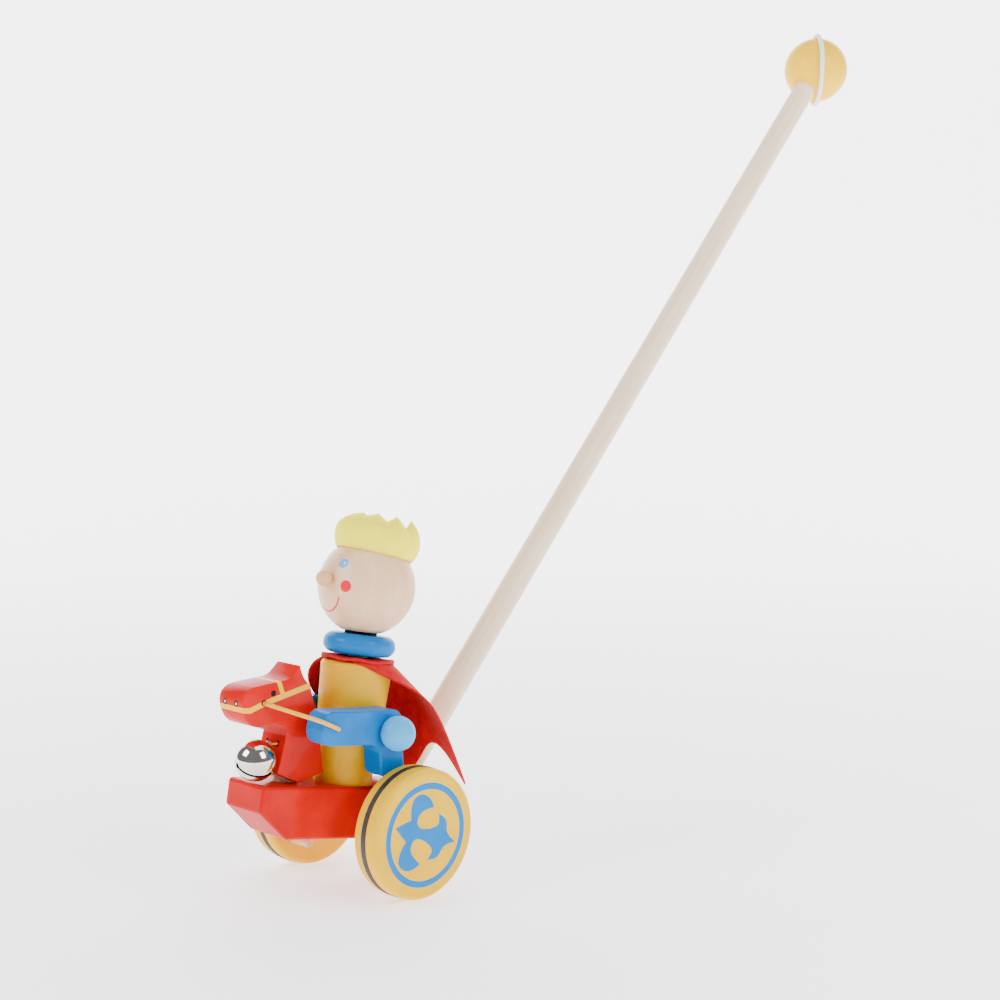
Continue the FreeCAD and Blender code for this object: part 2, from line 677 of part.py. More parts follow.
def horse_tongue():
    """Upright tongue glued in the base; the horse's pin turns in it."""
    body = new_body("horse_tongue")
    half = size["tongue_length"] / 2
    foot = size["base_top"] - size["tongue_sink"]
    head_top = pivot_z + half
    drawing = new_sketch(body, "YZ_Plane", -size["tongue_thickness"] / 2)
    draw_outline(drawing, [(pivot_y - half, foot), (pivot_y + half, foot), (pivot_y + half, head_top),
                           (pivot_y - half, head_top)])
    pad(body, drawing, size["tongue_thickness"])
    round_edges(body, half - 0.5, corner_at(pivot_y - half, head_top))
    round_edges(body, half - 0.5, corner_at(pivot_y + half, head_top))
    hole = new_sketch(body, "YZ_Plane")
    draw_circle(hole, pivot_y, pivot_z, size["pivot_radius"] + size["running_gap"])
    pocket(body, hole, both_ways=True)
    return finish(body, "horse_tongue")


def horse_pin():
    length = size["horse_thickness"] - 2 - size["side_gap"]
    return cylinder("horse_pin", size["pivot_radius"], length, x=-horse_half, y=pivot_y, z=pivot_z,
                    turn=90, about=(0, 1, 0))


# ------------------------------------------------------------------ reins
def cord(label, points, radius):
    """Straight round cord from point to point in the chassis frame, as one solid."""
    solids = []
    for start, end in zip(points, points[1:]):
        run = end - start
        solids.append(Part.makeCylinder(radius, run.Length, start, run))
    for joint in points[1:-1]:
        solids.append(Part.makeSphere(radius, joint))
    shape = solids[0].fuse(solids[1:]).removeSplitter() if len(solids) > 1 else solids[0]
    piece = doc.addObject("Part::Feature", f"{label}_shape")
    piece.Shape = shape
    return finish(piece, label)


def rein(side, name):
    """Tight run of the rein, from the horse's mouth round the hand's front edge to its hole."""
    outside = side * (arm_outer_face.value + size["rein_radius"].value + 0.1)
    forward, height = size["hand_forward"].value, size["hand_height"].value
    mouth = Vector(side * (horse_half.value + 0.6), -size["mouth_forward"].value,
                   size["mouth_height"].value)
    corner = Vector(outside, -forward - 10.9, height + 3.3)
    hand = Vector(outside, -forward, height)
    first, last = (corner - mouth).normalize(), (hand - corner).normalize()
    return cord(name, [mouth + first * 1.2, corner, hand - last * 1.5], size["rein_radius"].value)


def rein_end(side, name):
    """The rein's end, through the hand, with a knot on the inside."""
    inner = size["arm_inner_face"].value
    y, z = -size["hand_forward"].value, size["hand_height"].value
    outside = Vector(side * (arm_outer_face.value + size["rein_radius"].value), y, z)
    inside = Vector(side * (inner - 2.4), y, z)
    through = inside - outside
    piece = Part.makeCylinder(size["rein_radius"].value, through.Length, outside, through)
    knot = Part.makeSphere(2.0, Vector(side * (inner - 2.2), y, z))
    tail = Part.makeSphere(size["rein_radius"].value, outside)
    feature = doc.addObject("Part::Feature", f"{name}_shape")
    feature.Shape = piece.fuse([knot, tail]).removeSplitter()
    return finish(feature, name)


def rein_middle():
    """The rein where it runs through the horse's mouth."""
    length = size["horse_thickness"] + 0.4
    return cylinder("rein_middle", size["rein_radius"], length, x=-length / 2, y=-size["mouth_forward"],
                    z=size["mouth_height"], turn=90, about=(0, 1, 0))


# ------------------------------------------------------------------ bell
def bell_shell(label, upper):
    """One pressed half of the bell; the lower half has the sound slot."""
    radius, wall = size["bell_radius"].value, size["bell_wall"].value
    gap = size["bell_seam"].value / 2
    ball = Part.makeSphere(radius).cut(Part.makeSphere(radius - wall))
    block = Part.makeBox(4 * radius, 4 * radius, 2 * radius,
                         Vector(-2 * radius, -2 * radius, gap if upper else -2 * radius - gap))
    shell = ball.common(block)
    if not upper:
        half = size["bell_slot"].value / 2
        slot = Part.makeBox(2 * half, 2 * radius, 0.8 * radius, Vector(-half, -radius, -1.05 * radius))
        ends = [Part.makeCylinder(1.7, 8, Vector(0, way * (radius * 0.5), -radius * 0.25),
                                  Vector(0, way, -0.5)) for way in (-1, 1)]
        shell = shell.cut(slot.fuse(ends))
    piece = doc.addObject("Part::Feature", f"{label}_shape")
    piece.Shape = shell
    return finish(piece, label, x=size["bell_aside"], y=-size["bell_forward"], z=size["bell_height"])


def bell_pellet():
    piece = doc.addObject("Part::Sphere", "pellet_sphere")
    drive(piece, "Radius", 2.2)
    rest = size["bell_radius"] - size["bell_wall"] - 2.2 - 0.3
    return finish(piece, "bell_pellet", x=size["bell_aside"] + 3, y=-size["bell_forward"],
                  z=size["bell_height"] - rest + 1)


def bell_eye():
    """Wire loop soldered to the top of the bell, towards the horse."""
    piece = doc.addObject("Part::Torus", "eye_torus")
    drive(piece, "Radius1", 2.0)
    drive(piece, "Radius2", 0.5)
    return finish(piece, "bell_eye", x=size["bell_aside"], y=-size["bell_forward"] + 4.4,
                  z=size["bell_height"] + size["bell_radius"] + 1.95, turn=90, about=(0, 1, 0))


def bell_cord():
    """Gold cord through the neck, with both ends brought forward to the bell's eye."""
    half = horse_half.value + 1.4
    y, z = -size["tie_forward"].value, size["tie_height"].value
    eye = Vector(size["bell_aside"].value, -size["bell_forward"].value + 4.4,
                 size["bell_height"].value + size["bell_radius"].value + 3.0)
    left, right = Vector(half, y, z), Vector(-half, y, z)
    front_left = Vector(half - 1.0, y - 6.0, z + 2.5)
    front_right = Vector(1.0 - half, y - 6.0, z + 2.5)
    points = [eye + Vector(1.2, 0, 0), front_left, left, right, front_right, eye - Vector(1.2, 0, 0)]
    return cord("bell_cord", points, size["bell_cord_radius"].value)


# ------------------------------------------------------------------ cape
CAPE_ROWS, CAPE_COLUMNS = 8, 12


def cape_point(down, across):
    """Place on the cape: down runs 0 to 1 from neck to hem, across -1 to 1 from edge to edge."""
    seat = trunk_y.value
    chest = size["chest_radius"].value
    neck_turn, shoulder_turn = math.radians(135 * across), math.radians(100 * across)
    neck_r, neck_z = chest * 0.5, collar_foot.value - 1.3
    neck = Vector(neck_r * math.sin(neck_turn), seat + neck_r * math.cos(neck_turn), neck_z)
    drop_r = chest + 1.6
    shoulder = Vector(drop_r * math.sin(shoulder_turn), seat + drop_r * math.cos(shoulder_turn),
                      trunk_top.value + 0.2)
    angle = math.radians(size["rod_angle"].value)
    rod_at = 68.0
    axis = Vector(0, rod_foot_y.value + rod_at * math.cos(angle), rod_at * math.sin(angle))
    clear = size["rod_radius"].value + 1.3
    over = 0.3
    if abs(across) < over:
        roll = across / over * math.pi / 2
        lift = clear * math.cos(roll)
        hem = axis + Vector(clear * math.sin(roll), -lift * math.sin(angle), lift * math.cos(angle))
    else:
        way = math.copysign(1.0, across)
        fall = (abs(across) - over) / (1 - over)
        hem = axis + Vector(way * (clear + 12.0 * fall), 13.0 * fall, -35.0 * fall)
    fold = 0.25
    if down < fold:
        return neck + (shoulder - neck) * (down / fold)
    return shoulder + (hem - shoulder) * ((down - fold) / (1 - fold))


def thick_sheet(point, rows, columns, thickness):
    """Closed solid of even thickness about a surface given by point(down, across)."""
    def place(row, column, shift):
        down, across = row / rows, -1 + 2 * column / columns
        step = 0.01
        along = point(min(down + step, 1), across) - point(max(down - step, 0), across)
        over = point(down, min(across + step, 1)) - point(down, max(across - step, -1))
        return point(down, across) + over.cross(along).normalize() * shift

    grids = [[[place(row, column, shift) for column in range(columns + 1)] for row in range(rows + 1)]
             for shift in (thickness / 2, -thickness / 2)]
    faces = []

    def triangle(a, b, c):
        faces.append(Part.Face(Part.makePolygon([a, b, c, a])))

    def patch(a, b, c, d):
        triangle(a, b, c)
        triangle(a, c, d)

    for grid in grids:
        for row in range(rows):
            for column in range(columns):
                patch(grid[row][column], grid[row][column + 1],
                      grid[row + 1][column + 1], grid[row + 1][column])
    top, under = grids
    rim = [(0, column) for column in range(columns)] + [(row, columns) for row in range(rows)]
    rim += [(rows, column) for column in range(columns, 0, -1)] + [(row, 0) for row in range(rows, 0, -1)]
    for (row, column), (next_row, next_column) in zip(rim, rim[1:] + rim[:1]):
        patch(top[row][column], top[next_row][next_column],
              under[next_row][next_column], under[row][column])
    solid = Part.Solid(Part.makeShell(faces))
    if solid.Volume < 0:
        solid.reverse()
    return solid


def cape():
    """Felt cape: gathered under the collar, over the shoulders and over the push rod."""
    piece = doc.addObject("Part::Feature", "cape_shape")
    piece.Shape = thick_sheet(cape_point, CAPE_ROWS, CAPE_COLUMNS, size["felt"].value)
    return finish(piece, "cape")


# ------------------------------------------------------------------ push rod
def push_rod():
    body = new_body("push_rod")
    drawing = new_sketch(body, "XY_Plane")
    draw_circle(drawing, 0, 0, size["rod_radius"])
    pad(body, drawing, size["rod_length"])
    length = size["rod_length"].value
    round_edges(body, 1.0, lambda edge: edge.BoundBox.ZLength < 0.01 and min(middle(edge).z, length
                - middle(edge).z) < 0.01)
    return finish(body, "push_rod", y=rod_foot_y, turn=size["rod_angle"] - 90)


def on_rod(distance):
    """Coordinates of a point of the rod's centre line, counted from its foot."""
    return (rod_foot_y + distance * cosine(size["rod_angle"]), distance * sine(size["rod_angle"]))


def handle_ball():
    body = new_body("handle_ball")
    ball = body.newObject("PartDesign::AdditiveSphere", "handle_sphere")
    drive(ball, "Radius", size["ball_radius"])
    doc.recompute()
    seat = root(size["ball_radius"] * size["ball_radius"]
                - (size["rod_radius"] + 1.0) * (size["rod_radius"] + 1.0))
    flat = new_sketch(body, "XY_Plane", -seat)
    draw_circle(flat, 0, 0, size["ball_radius"])
    pocket(body, flat, size["ball_radius"])
    hole = new_sketch(body, "XY_Plane", -seat)
    draw_circle(hole, 0, 0, size["rod_radius"] + size["glue_gap"])
    pocket(body, hole, size["ball_grip"] + size["glue_gap"], upwards=True)
    y, z = on_rod(size["rod_length"] - size["ball_grip"] + seat)
    return finish(body, "handle_ball", y=y, z=z, turn=size["rod_angle"] - 90)


def hanging_loop():
    """Closed cord round the handle ball."""
    piece = doc.addObject("Part::Torus", "loop_torus")
    drive(piece, "Radius1", size["ball_radius"] + size["loop_radius"] + 0.15)
    drive(piece, "Radius2", size["loop_radius"])
    seat = root(size["ball_radius"] * size["ball_radius"]
                - (size["rod_radius"] + 1.0) * (size["rod_radius"] + 1.0))
    y, z = on_rod(size["rod_length"] - size["ball_grip"] + seat)
    return finish(piece, "hanging_loop", y=y, z=z, turn=83, about=(-0.7, 0.7, 0))


# ------------------------------------------------------------------ build
SIDES = (("left", 1), ("right", -1))
pieces = [base_block(), axle(), trunk(), collar_ring(), neck_washer(), head(), nose(), crown(),
          shoulder_dowel(), horse(), horse_tongue(), horse_pin(), rein_middle(), cape(), push_rod(),
          handle_ball(), hanging_loop()]
foot_sink = size["foot_dowel_sink"] - size["side_gap"]
pieces.append(cylinder("foot_dowel", size["foot_dowel_radius"], 2 * foot_sink,
                       y=trunk_y, z=size["base_top"] - foot_sink))
pieces.append(cylinder("neck_dowel", size["neck_radius"],
                       head_foot - trunk_top + 2 * (size["neck_sink"] - size["side_gap"]),
                       y=trunk_y, z=trunk_top - size["neck_sink"] + size["side_gap"]))
for side_name, side in SIDES:
    pieces.append(wheel(side, f"wheel_{side_name}"))
    pieces.append(tread_band(side, f"tread_band_{side_name}"))
    pieces.append(wheel_peg(side, f"wheel_peg_{side_name}"))
    pieces.append(axle_spacer(side, f"axle_spacer_{side_name}"))
    pieces.append(arm(side, f"arm_{side_name}"))
    pieces.append(shoulder_knob(side, f"shoulder_knob_{side_name}"))
    pieces.append(rein(side, f"rein_{side_name}"))
    pieces.append(rein_end(side, f"rein_end_{side_name}"))
pieces += [bell_shell("bell_upper_shell", True), bell_shell("bell_lower_shell", False), bell_pellet(),
           bell_eye(), bell_cord()]
doc.recompute()

# ------------------------------------------------------------------ checks and files
for item in doc.Objects:
    if "Invalid" in item.State or "Error" in item.State:
        raise RuntimeError(f"{item.Label} did not build: {item.State}")
os.makedirs("parts", exist_ok=True)
for piece in pieces:
    shape = piece.Shape
    if shape.isNull() or not shape.isValid() or not shape.Solids:
        raise RuntimeError(f"{piece.Label} is not a valid solid")
    shape.exportStep(f"parts/{piece.Label}.step")
    print(f"{piece.Label:20s} solids {len(shape.Solids)}  volume {shape.Volume / 1000:8.2f} cm3")
print("pieces", len(pieces))
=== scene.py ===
# %% [markdown]
# # A wooden push-along toy: rider, rocking horse and bell
#
# The frame comes from the CAD model: every wooden piece, dowel and wheel is already in its place
# and rides on the right moving body. This lesson adds what the CAD model leaves plain: paint and
# printed patterns, felt, cord, a polished bell, a camera and soft light. Loading the frame first
# means that each new piece can be tied to a body as soon as it is made.

# %% Load the frame
import math
import bmesh
import bpy
from mathutils import Matrix, Vector


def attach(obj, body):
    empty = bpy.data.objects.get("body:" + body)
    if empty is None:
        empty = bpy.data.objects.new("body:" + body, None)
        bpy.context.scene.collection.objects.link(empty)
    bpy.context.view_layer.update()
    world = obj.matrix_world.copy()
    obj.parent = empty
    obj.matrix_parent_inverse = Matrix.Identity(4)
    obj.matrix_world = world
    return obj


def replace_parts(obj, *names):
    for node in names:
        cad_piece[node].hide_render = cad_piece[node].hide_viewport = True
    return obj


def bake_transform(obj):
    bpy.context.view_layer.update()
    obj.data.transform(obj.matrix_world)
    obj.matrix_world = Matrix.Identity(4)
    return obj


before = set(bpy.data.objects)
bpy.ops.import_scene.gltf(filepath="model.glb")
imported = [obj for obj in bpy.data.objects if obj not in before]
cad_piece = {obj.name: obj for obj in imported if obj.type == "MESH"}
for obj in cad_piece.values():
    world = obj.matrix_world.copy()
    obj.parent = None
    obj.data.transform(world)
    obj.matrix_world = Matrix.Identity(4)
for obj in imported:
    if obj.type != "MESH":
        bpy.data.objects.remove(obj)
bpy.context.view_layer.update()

# %% [markdown]
# The toy stands with its nose tipped up by ten degrees, held by its rod. It is far easier to model
# in the chassis's own upright frame, in millimetres from the middle of the axle, and to tip the
# finished mesh afterwards. One matrix does that for every piece, and also turns millimetres to metres.

# %% The chassis frame
AXLE_HEIGHT = 0.0353
NOSE_UP = math.radians(10)
CHASSIS = (Matrix.Translation((0, 0, AXLE_HEIGHT)) @ Matrix.Rotation(-NOSE_UP, 4, "X")
           @ Matrix.Scale(0.001, 4))
print("axle, m above the floor:", round((CHASSIS @ Vector((0, 0, 0))).z, 4))

# %% [markdown]
# The camera comes before any finish, because it decides how large each detail shows. A 60 mm lens
# looks at the toy from its front left, 28 centimetres above the floor and slightly downwards.
# Aiming it with a direction, not with three angles, keeps the horizon level.

# %% Camera
camera_data = bpy.data.cameras.new("studio_camera")
camera_data.sensor_width = 36
camera_data.lens = 59.92
camera_data.clip_start = 0.05
camera = bpy.data.objects.new("studio_camera", camera_data)
camera.location = (0.69739, -0.58239, 0.28434)
looking = Vector((-0.7072, 0.7023, -0.0812))
camera.rotation_euler = looking.to_track_quat("-Z", "Y").to_euler()
bpy.context.scene.collection.objects.link(camera)
bpy.context.scene.camera = camera

# %% [markdown]
# A finish is a small tree of nodes. Every tree here is made with the same helper: it adds one
# node, sets its options, and fills each input with a number or with a link. Colours are written as the
# sRGB hex values that a paint chart gives, and one function turns them into the linear values
# that a shader needs.

# %% Helpers for finishes
def linear(code):
    """Linear colour of an sRGB hex value."""
    parts = [int(code[place:place + 2], 16) / 255 for place in (1, 3, 5)]
    return [part / 12.92 if part <= 0.04045 else ((part + 0.055) / 1.055) ** 2.4
            for part in parts] + [1.0]


def add_node(tree, kind, inputs=None, **settings):
    """Adds one node with its settings, its values and its links."""
    node = tree.nodes.new(kind)
    for field, value in settings.items():
        setattr(node, field, value)
    for socket, value in (inputs or {}).items():
        if isinstance(value, bpy.types.NodeSocket):
            tree.links.new(value, node.inputs[socket])
        else:
            node.inputs[socket].default_value = value
    return node


def new_finish(name, **values):
    """A material with one principled shader; returns it with its tree, shader and place."""
    finish = bpy.data.materials.new(name)
    finish.use_nodes = True
    tree = finish.node_tree
    shader = tree.nodes["Principled BSDF"]
    for socket, value in values.items():
        shader.inputs[socket.replace("_", " ")].default_value = value
    place = add_node(tree, "ShaderNodeTexCoord").outputs["Object"]
    return finish, tree, shader, place


def mottle(tree, place, dark, light, size, low=0.35, high=0.65):
    """A colour that drifts between two shades over patches of a real size in metres."""
    noise = add_node(tree, "ShaderNodeTexNoise", {"Vector": place, "Scale": 1 / size, "Detail": 3.0})
    blend = add_node(tree, "ShaderNodeMapRange", {0: noise.outputs["Fac"], 1: low, 2: high})
    mix = add_node(tree, "ShaderNodeMix", {0: blend.outputs[0], 6: linear(dark), 7: linear(light)},
                   data_type="RGBA")
    return mix.outputs[2]


def relief(tree, shader, place, size, height, strength=1.0):
    """Fine unevenness of a real size and height in metres."""
    noise = add_node(tree, "ShaderNodeTexNoise", {"Vector": place, "Scale": 1 / size, "Detail": 2.0})
    bump = add_node(tree, "ShaderNodeBump", {"Height": noise.outputs["Fac"], "Distance": height,
                                             "Strength": strength})
    tree.links.new(bump.outputs["Normal"], shader.inputs["Normal"])


# %% [markdown]
# The paint is a coloured lacquer, sprayed on turned beech and left to level. The eye reads it from
# soft reflections, a faint orange peel of about three millimetres, and a very slight drift of the
# colour over patches of about two centimetres. The base reflects little and a thin clear coat does
# the rest, because a stronger reflection of the white studio would wash the colours out.

# %% Lacquered wood
LACQUER = {"Roughness": 0.32, "IOR": 1.5, "Coat_Weight": 0.14, "Specular_IOR_Level": 0.02,
           "Coat_Roughness": 0.09}
COLOUR_PATCH = 0.018


def orange_peel(tree, shader, place):
    relief(tree, shader, place, size=0.003, height=0.00004, strength=0.5)


def lacquered_beech(name, dark, light):
    finish, tree, shader, place = new_finish(name, **LACQUER)
    tree.links.new(mottle(tree, place, dark, light, COLOUR_PATCH), shader.inputs["Base Color"])
    orange_peel(tree, shader, place)
    return finish


red_lacquer = lacquered_beech("red lacquered beech", "#bc0400", "#cc0802")
trunk_lacquer = lacquered_beech("amber lacquered beech", "#e0a800", "#eab400")
blue_lacquer = lacquered_beech("blue lacquered beech", "#0068b0", "#0074bc")
sky_lacquer = lacquered_beech("sky blue lacquered beech", "#3fa2dc", "#4cace2")
ball_lacquer = lacquered_beech("lemon lacquered beech", "#f4c000", "#facc00")

# %% [markdown]
# Bare beech shows through a thin clear varnish: long pale streaks along the grain, about two
# millimetres wide, and short darker flecks. A noise stretched along the grain draws both. The
# Mapping node is set to Texture, so that its scale is simply the size of one streak in metres and
# its rotation is the way that the grain runs.

# %% Bare wood
STREAK = (0.0022, 0.0022, 0.06)
ROD_RISE = 48.1


def varnished_beech(name, dark, light, grain_turn):
    finish, tree, shader, place = new_finish(name, Roughness=0.45, IOR=1.5, Specular_IOR_Level=0.15,
                                             Coat_Weight=0.1, Coat_Roughness=0.3)
    along = add_node(tree, "ShaderNodeMapping", {"Vector": place, "Rotation": grain_turn,
                                                 "Scale": STREAK}, vector_type="TEXTURE").outputs[0]
    streaks = mottle(tree, along, dark, light, 1.0, 0.3, 0.7)
    fleck_noise = add_node(tree, "ShaderNodeTexNoise", {"Vector": along, "Scale": 4.0, "Detail": 1.0})
    fleck = add_node(tree, "ShaderNodeMapRange", {0: fleck_noise.outputs["Fac"], 1: 0.62, 2: 0.75,
                                                  4: 0.35})
    mixed = add_node(tree, "ShaderNodeMix", {0: fleck.outputs[0], 6: streaks, 7: linear(dark)},
                     data_type="RGBA")
    tree.links.new(mixed.outputs[2], shader.inputs["Base Color"])
    relief(tree, shader, along, 0.5, 0.00003, 0.4)
    return finish


rod_turn = (math.radians(ROD_RISE - 90), 0, 0)
crosswise_turn = (0, math.radians(90), 0)
upright_turn = (-NOSE_UP, 0, 0)
rod_beech = varnished_beech("varnished beech rod", "#ecd0ac", "#f6e2c6", rod_turn)
dowel_beech = varnished_beech("varnished beech dowel", "#d9b58f", "#e6c8a6", crosswise_turn)
peg_beech = varnished_beech("bare beech upright", "#d9b58f", "#e6c8a6", upright_turn)

# %% [markdown]
# Cords, felt, rubber and metal. Felt scatters light from a mat of fibres, so it is rough all over,
# with a soft sheen at its rim. The specks where single fibres catch the light are painted highlights:
# paler specks mixed into the felt's colour. The tread band is matt rubber. The bell is nickel plate,
# polished until it mirrors the room.

# %% Felt, cord, rubber and metal
def wool_felt(name, dark, light, glint_speck):
    finish, tree, shader, place = new_finish(name, Roughness=0.95, IOR=1.45, Sheen_Weight=0.06,
                                             Specular_IOR_Level=0.2, Sheen_Roughness=0.5)
    ground = mottle(tree, place, dark, light, 0.004)
    # Painted highlights: paler specks mixed into the colour where single fibres would catch the light.
    fibre = add_node(tree, "ShaderNodeTexNoise", {"Vector": place, "Scale": 1 / 0.0008, "Detail": 2.0})
    painted_glint_mask = add_node(tree, "ShaderNodeMapRange", {0: fibre.outputs["Fac"], 1: 0.62, 2: 0.78, 4: 0.6})
    mixed = add_node(tree, "ShaderNodeMix", {0: painted_glint_mask.outputs[0], 6: ground, 7: linear(glint_speck)},
                     data_type="RGBA")
    tree.links.new(mixed.outputs[2], shader.inputs["Base Color"])
    relief(tree, shader, place, 0.0009, 0.0003, 0.5)
    return finish


def twisted_cord(name, dark, light):
    finish, tree, shader, place = new_finish(name, Roughness=0.7, IOR=1.5)
    tree.links.new(mottle(tree, place, dark, light, 0.0008), shader.inputs["Base Color"])
    relief(tree, shader, place, 0.0006, 0.0002, 0.4)
    return finish


red_felt = wool_felt("red wool felt", "#b4000a", "#c8000e", "#dc1c2c")
yellow_felt = wool_felt("yellow wool felt", "#fff000", "#fff430", "#fff890")
# The black felt is painted shade: the dark washer under the head stands for the shadow in the gap
# between the head and the collar ring.
shade_black_felt = wool_felt("black felt as painted shade", "#101012", "#1c1c20", "#303036")
rein_cord = twisted_cord("waxed yellow cord", "#e8a010", "#f4bc30")
white_cord = twisted_cord("white cotton cord", "#e6e4df", "#fbfaf6")
gold_thread = twisted_cord("gold thread", "#b88a30", "#e2b856")

rubber, rubber_tree, rubber_shader, rubber_place = new_finish("natural rubber band", Roughness=0.6,
                                                              IOR=1.52)
rubber_tree.links.new(mottle(rubber_tree, rubber_place, "#1d191f", "#2b262e", 0.006),
                      rubber_shader.inputs["Base Color"])
nickel, nickel_tree, nickel_shader, nickel_place = new_finish("polished nickel plate", Metallic=1.0,
                                                              Roughness=0.09)
nickel_tree.links.new(mottle(nickel_tree, nickel_place, "#c9c2b8", "#dcd7d0", 0.02),
                      nickel_shader.inputs["Base Color"])
relief(nickel_tree, nickel_shader, nickel_place, 0.006, 0.00006, 0.25)
steel, steel_tree, steel_shader, steel_place = new_finish("drawn steel wire", Metallic=1.0,
                                                          Roughness=0.3)
steel_tree.links.new(mottle(steel_tree, steel_place, "#9a9a9c", "#b4b4b6", 0.003),
                     steel_shader.inputs["Base Color"])

# %% [markdown]
# Printed patterns lie flat in the lacquer, so they are drawn in the colour and not in the shape.
# Each one is a mask worked out from the place on the piece: a spot is everything within a distance
# of a point, a strap everything close to a line. Masks are mixed over the ground colour one by one.

# %% Masks for printed patterns
def chassis_place(tree, place):
    """The place in chassis millimetres, so that patterns use the same numbers as the pieces."""
    return add_node(tree, "ShaderNodeMapping", {"Vector": place, "Location": (0, 0, AXLE_HEIGHT),
                                                "Rotation": (-NOSE_UP, 0, 0),
                                                "Scale": (0.001, 0.001, 0.001)},
                    vector_type="TEXTURE").outputs[0]


INK_EDGE = 0.12


def spot(tree, place, centre, radius):
    """Mask of everything within a radius of a point, with a slightly soft edge."""
    away = add_node(tree, "ShaderNodeVectorMath", {0: place, 1: centre},
                    operation="DISTANCE").outputs["Value"]
    return add_node(tree, "ShaderNodeMapRange", {0: away, 1: radius - INK_EDGE, 2: radius + INK_EDGE,
                                                 3: 1.0, 4: 0.0}).outputs[0]


def strap(tree, place, start, end, width):
    """Mask of a straight strap on the sides of a piece, from start to end as (y, z)."""
    run = Vector(end) - Vector(start)
    turn = math.atan2(run.y, run.x)
    local = add_node(tree, "ShaderNodeMapping", {"Vector": place, "Location": (0, start[0], start[1]),
                                                 "Rotation": (turn, 0, 0),
                                                 "Scale": (1, run.length, width / 2)},
                     vector_type="TEXTURE")
    parts = add_node(tree, "ShaderNodeSeparateXYZ", {0: local.outputs[0]})
    within = add_node(tree, "ShaderNodeMath", {0: parts.outputs["Y"], 1: 0.5, 2: 0.5},
                      operation="COMPARE")
    beside = add_node(tree, "ShaderNodeMath", {0: parts.outputs["Z"], 1: 0.0, 2: 1.0},
                      operation="COMPARE")
    return add_node(tree, "ShaderNodeMath", {0: within.outputs[0], 1: beside.outputs[0]},
                    operation="MULTIPLY").outputs[0]


def print_over(tree, ground, mask, colour):
    """The ground colour with an ink laid over it wherever the mask is one."""
    return add_node(tree, "ShaderNodeMix", {0: mask, 6: ground, 7: linear(colour)},
                    data_type="RGBA").outputs[2]


# %% [markdown]
# The face is printed on the bare ball: two blue eyes, two red cheeks and a thin red smile, all on
# the front. A small pale spot in each eye is a painted highlight. The print sits a little to the
# rider's right of the nose. The smile is part of a ring round a point on the ball, cut off above the
# corners of the mouth.

# %% Head finish with its printed face
HEAD_CENTRE = Vector((0, -15.5, 126.4))
HEAD_RADIUS = 27.0
FACE_TURN = -9.5
EYE_RADIUS, GLINT_RADIUS, CHEEK_RADIUS = 2.9, 0.75, 3.2
SMILE_RADIUS, SMILE_HALF, SMILE_TOP = 12.2, 0.5, 119.5


def on_head(side_angle, height_angle):
    """Point of the head: angle to the rider's left of straight ahead, angle above the middle."""
    side, height = math.radians(side_angle), math.radians(height_angle)
    return HEAD_CENTRE + HEAD_RADIUS * Vector((math.sin(side) * math.cos(height),
                                               -math.cos(side) * math.cos(height),
                                               math.sin(height)))


head_finish, head_tree, head_shader, head_place = new_finish(
    "varnished maple with printed face", Roughness=0.36, IOR=1.5, Coat_Weight=0.2,
    Specular_IOR_Level=0.12, Coat_Roughness=0.16)
grain = add_node(head_tree, "ShaderNodeMapping", {"Vector": head_place, "Rotation": (-NOSE_UP, 0, 0.5),
                                                  "Scale": (0.008, 0.008, 0.1)}, vector_type="TEXTURE")
face_colour = mottle(head_tree, grain.outputs[0], "#e6b488", "#f0caa2", 1.0, 0.3, 0.7)
face_place = chassis_place(head_tree, head_place)
for side in (-1, 1):
    eye = on_head(FACE_TURN + side * 24.3, 24.6)
    # A pale spot in each eye is a painted highlight, mixed in like the print.
    glint = eye + Vector((0.8, 0, 0.3))
    cheek = on_head(FACE_TURN + side * 34.2, -1.7)
    for centre, radius, ink in ((eye, EYE_RADIUS, "#3ea6ea"), (glint, GLINT_RADIUS, "#d3edfb"),
                                (cheek, CHEEK_RADIUS, "#e01f2c")):
        dot = spot(head_tree, face_place, centre, radius)
        face_colour = print_over(head_tree, face_colour, dot, ink)
smile_centre = on_head(FACE_TURN, -9)
smile_away = add_node(head_tree, "ShaderNodeVectorMath", {0: face_place, 1: smile_centre},
                      operation="DISTANCE").outputs["Value"]
smile_ring = add_node(head_tree, "ShaderNodeMath", {0: smile_away, 1: SMILE_RADIUS, 2: SMILE_HALF},
                      operation="COMPARE")
smile_height = add_node(head_tree, "ShaderNodeSeparateXYZ", {0: face_place}).outputs["Z"]
smile_low = add_node(head_tree, "ShaderNodeMath", {0: smile_height, 1: SMILE_TOP},
                     operation="LESS_THAN")
smile_mask = add_node(head_tree, "ShaderNodeMath", {0: smile_ring.outputs[0], 1: smile_low.outputs[0]},
                      operation="MULTIPLY").outputs[0]
face_colour = print_over(head_tree, face_colour, smile_mask, "#d8202f")
head_tree.links.new(face_colour, head_shader.inputs["Base Color"])
relief(head_tree, head_shader, head_place, 0.004, 0.00004, 0.4)
nose_finish = varnished_beech("varnished beech nose", "#dca870", "#e6b67e", upright_turn)

# %% [markdown]
# Each wheel carries a blue ring, printed on its outer face only. The mask is a band of distances
# from the axle, kept to the outer few tenths of a millimetre of the wheel's thickness.

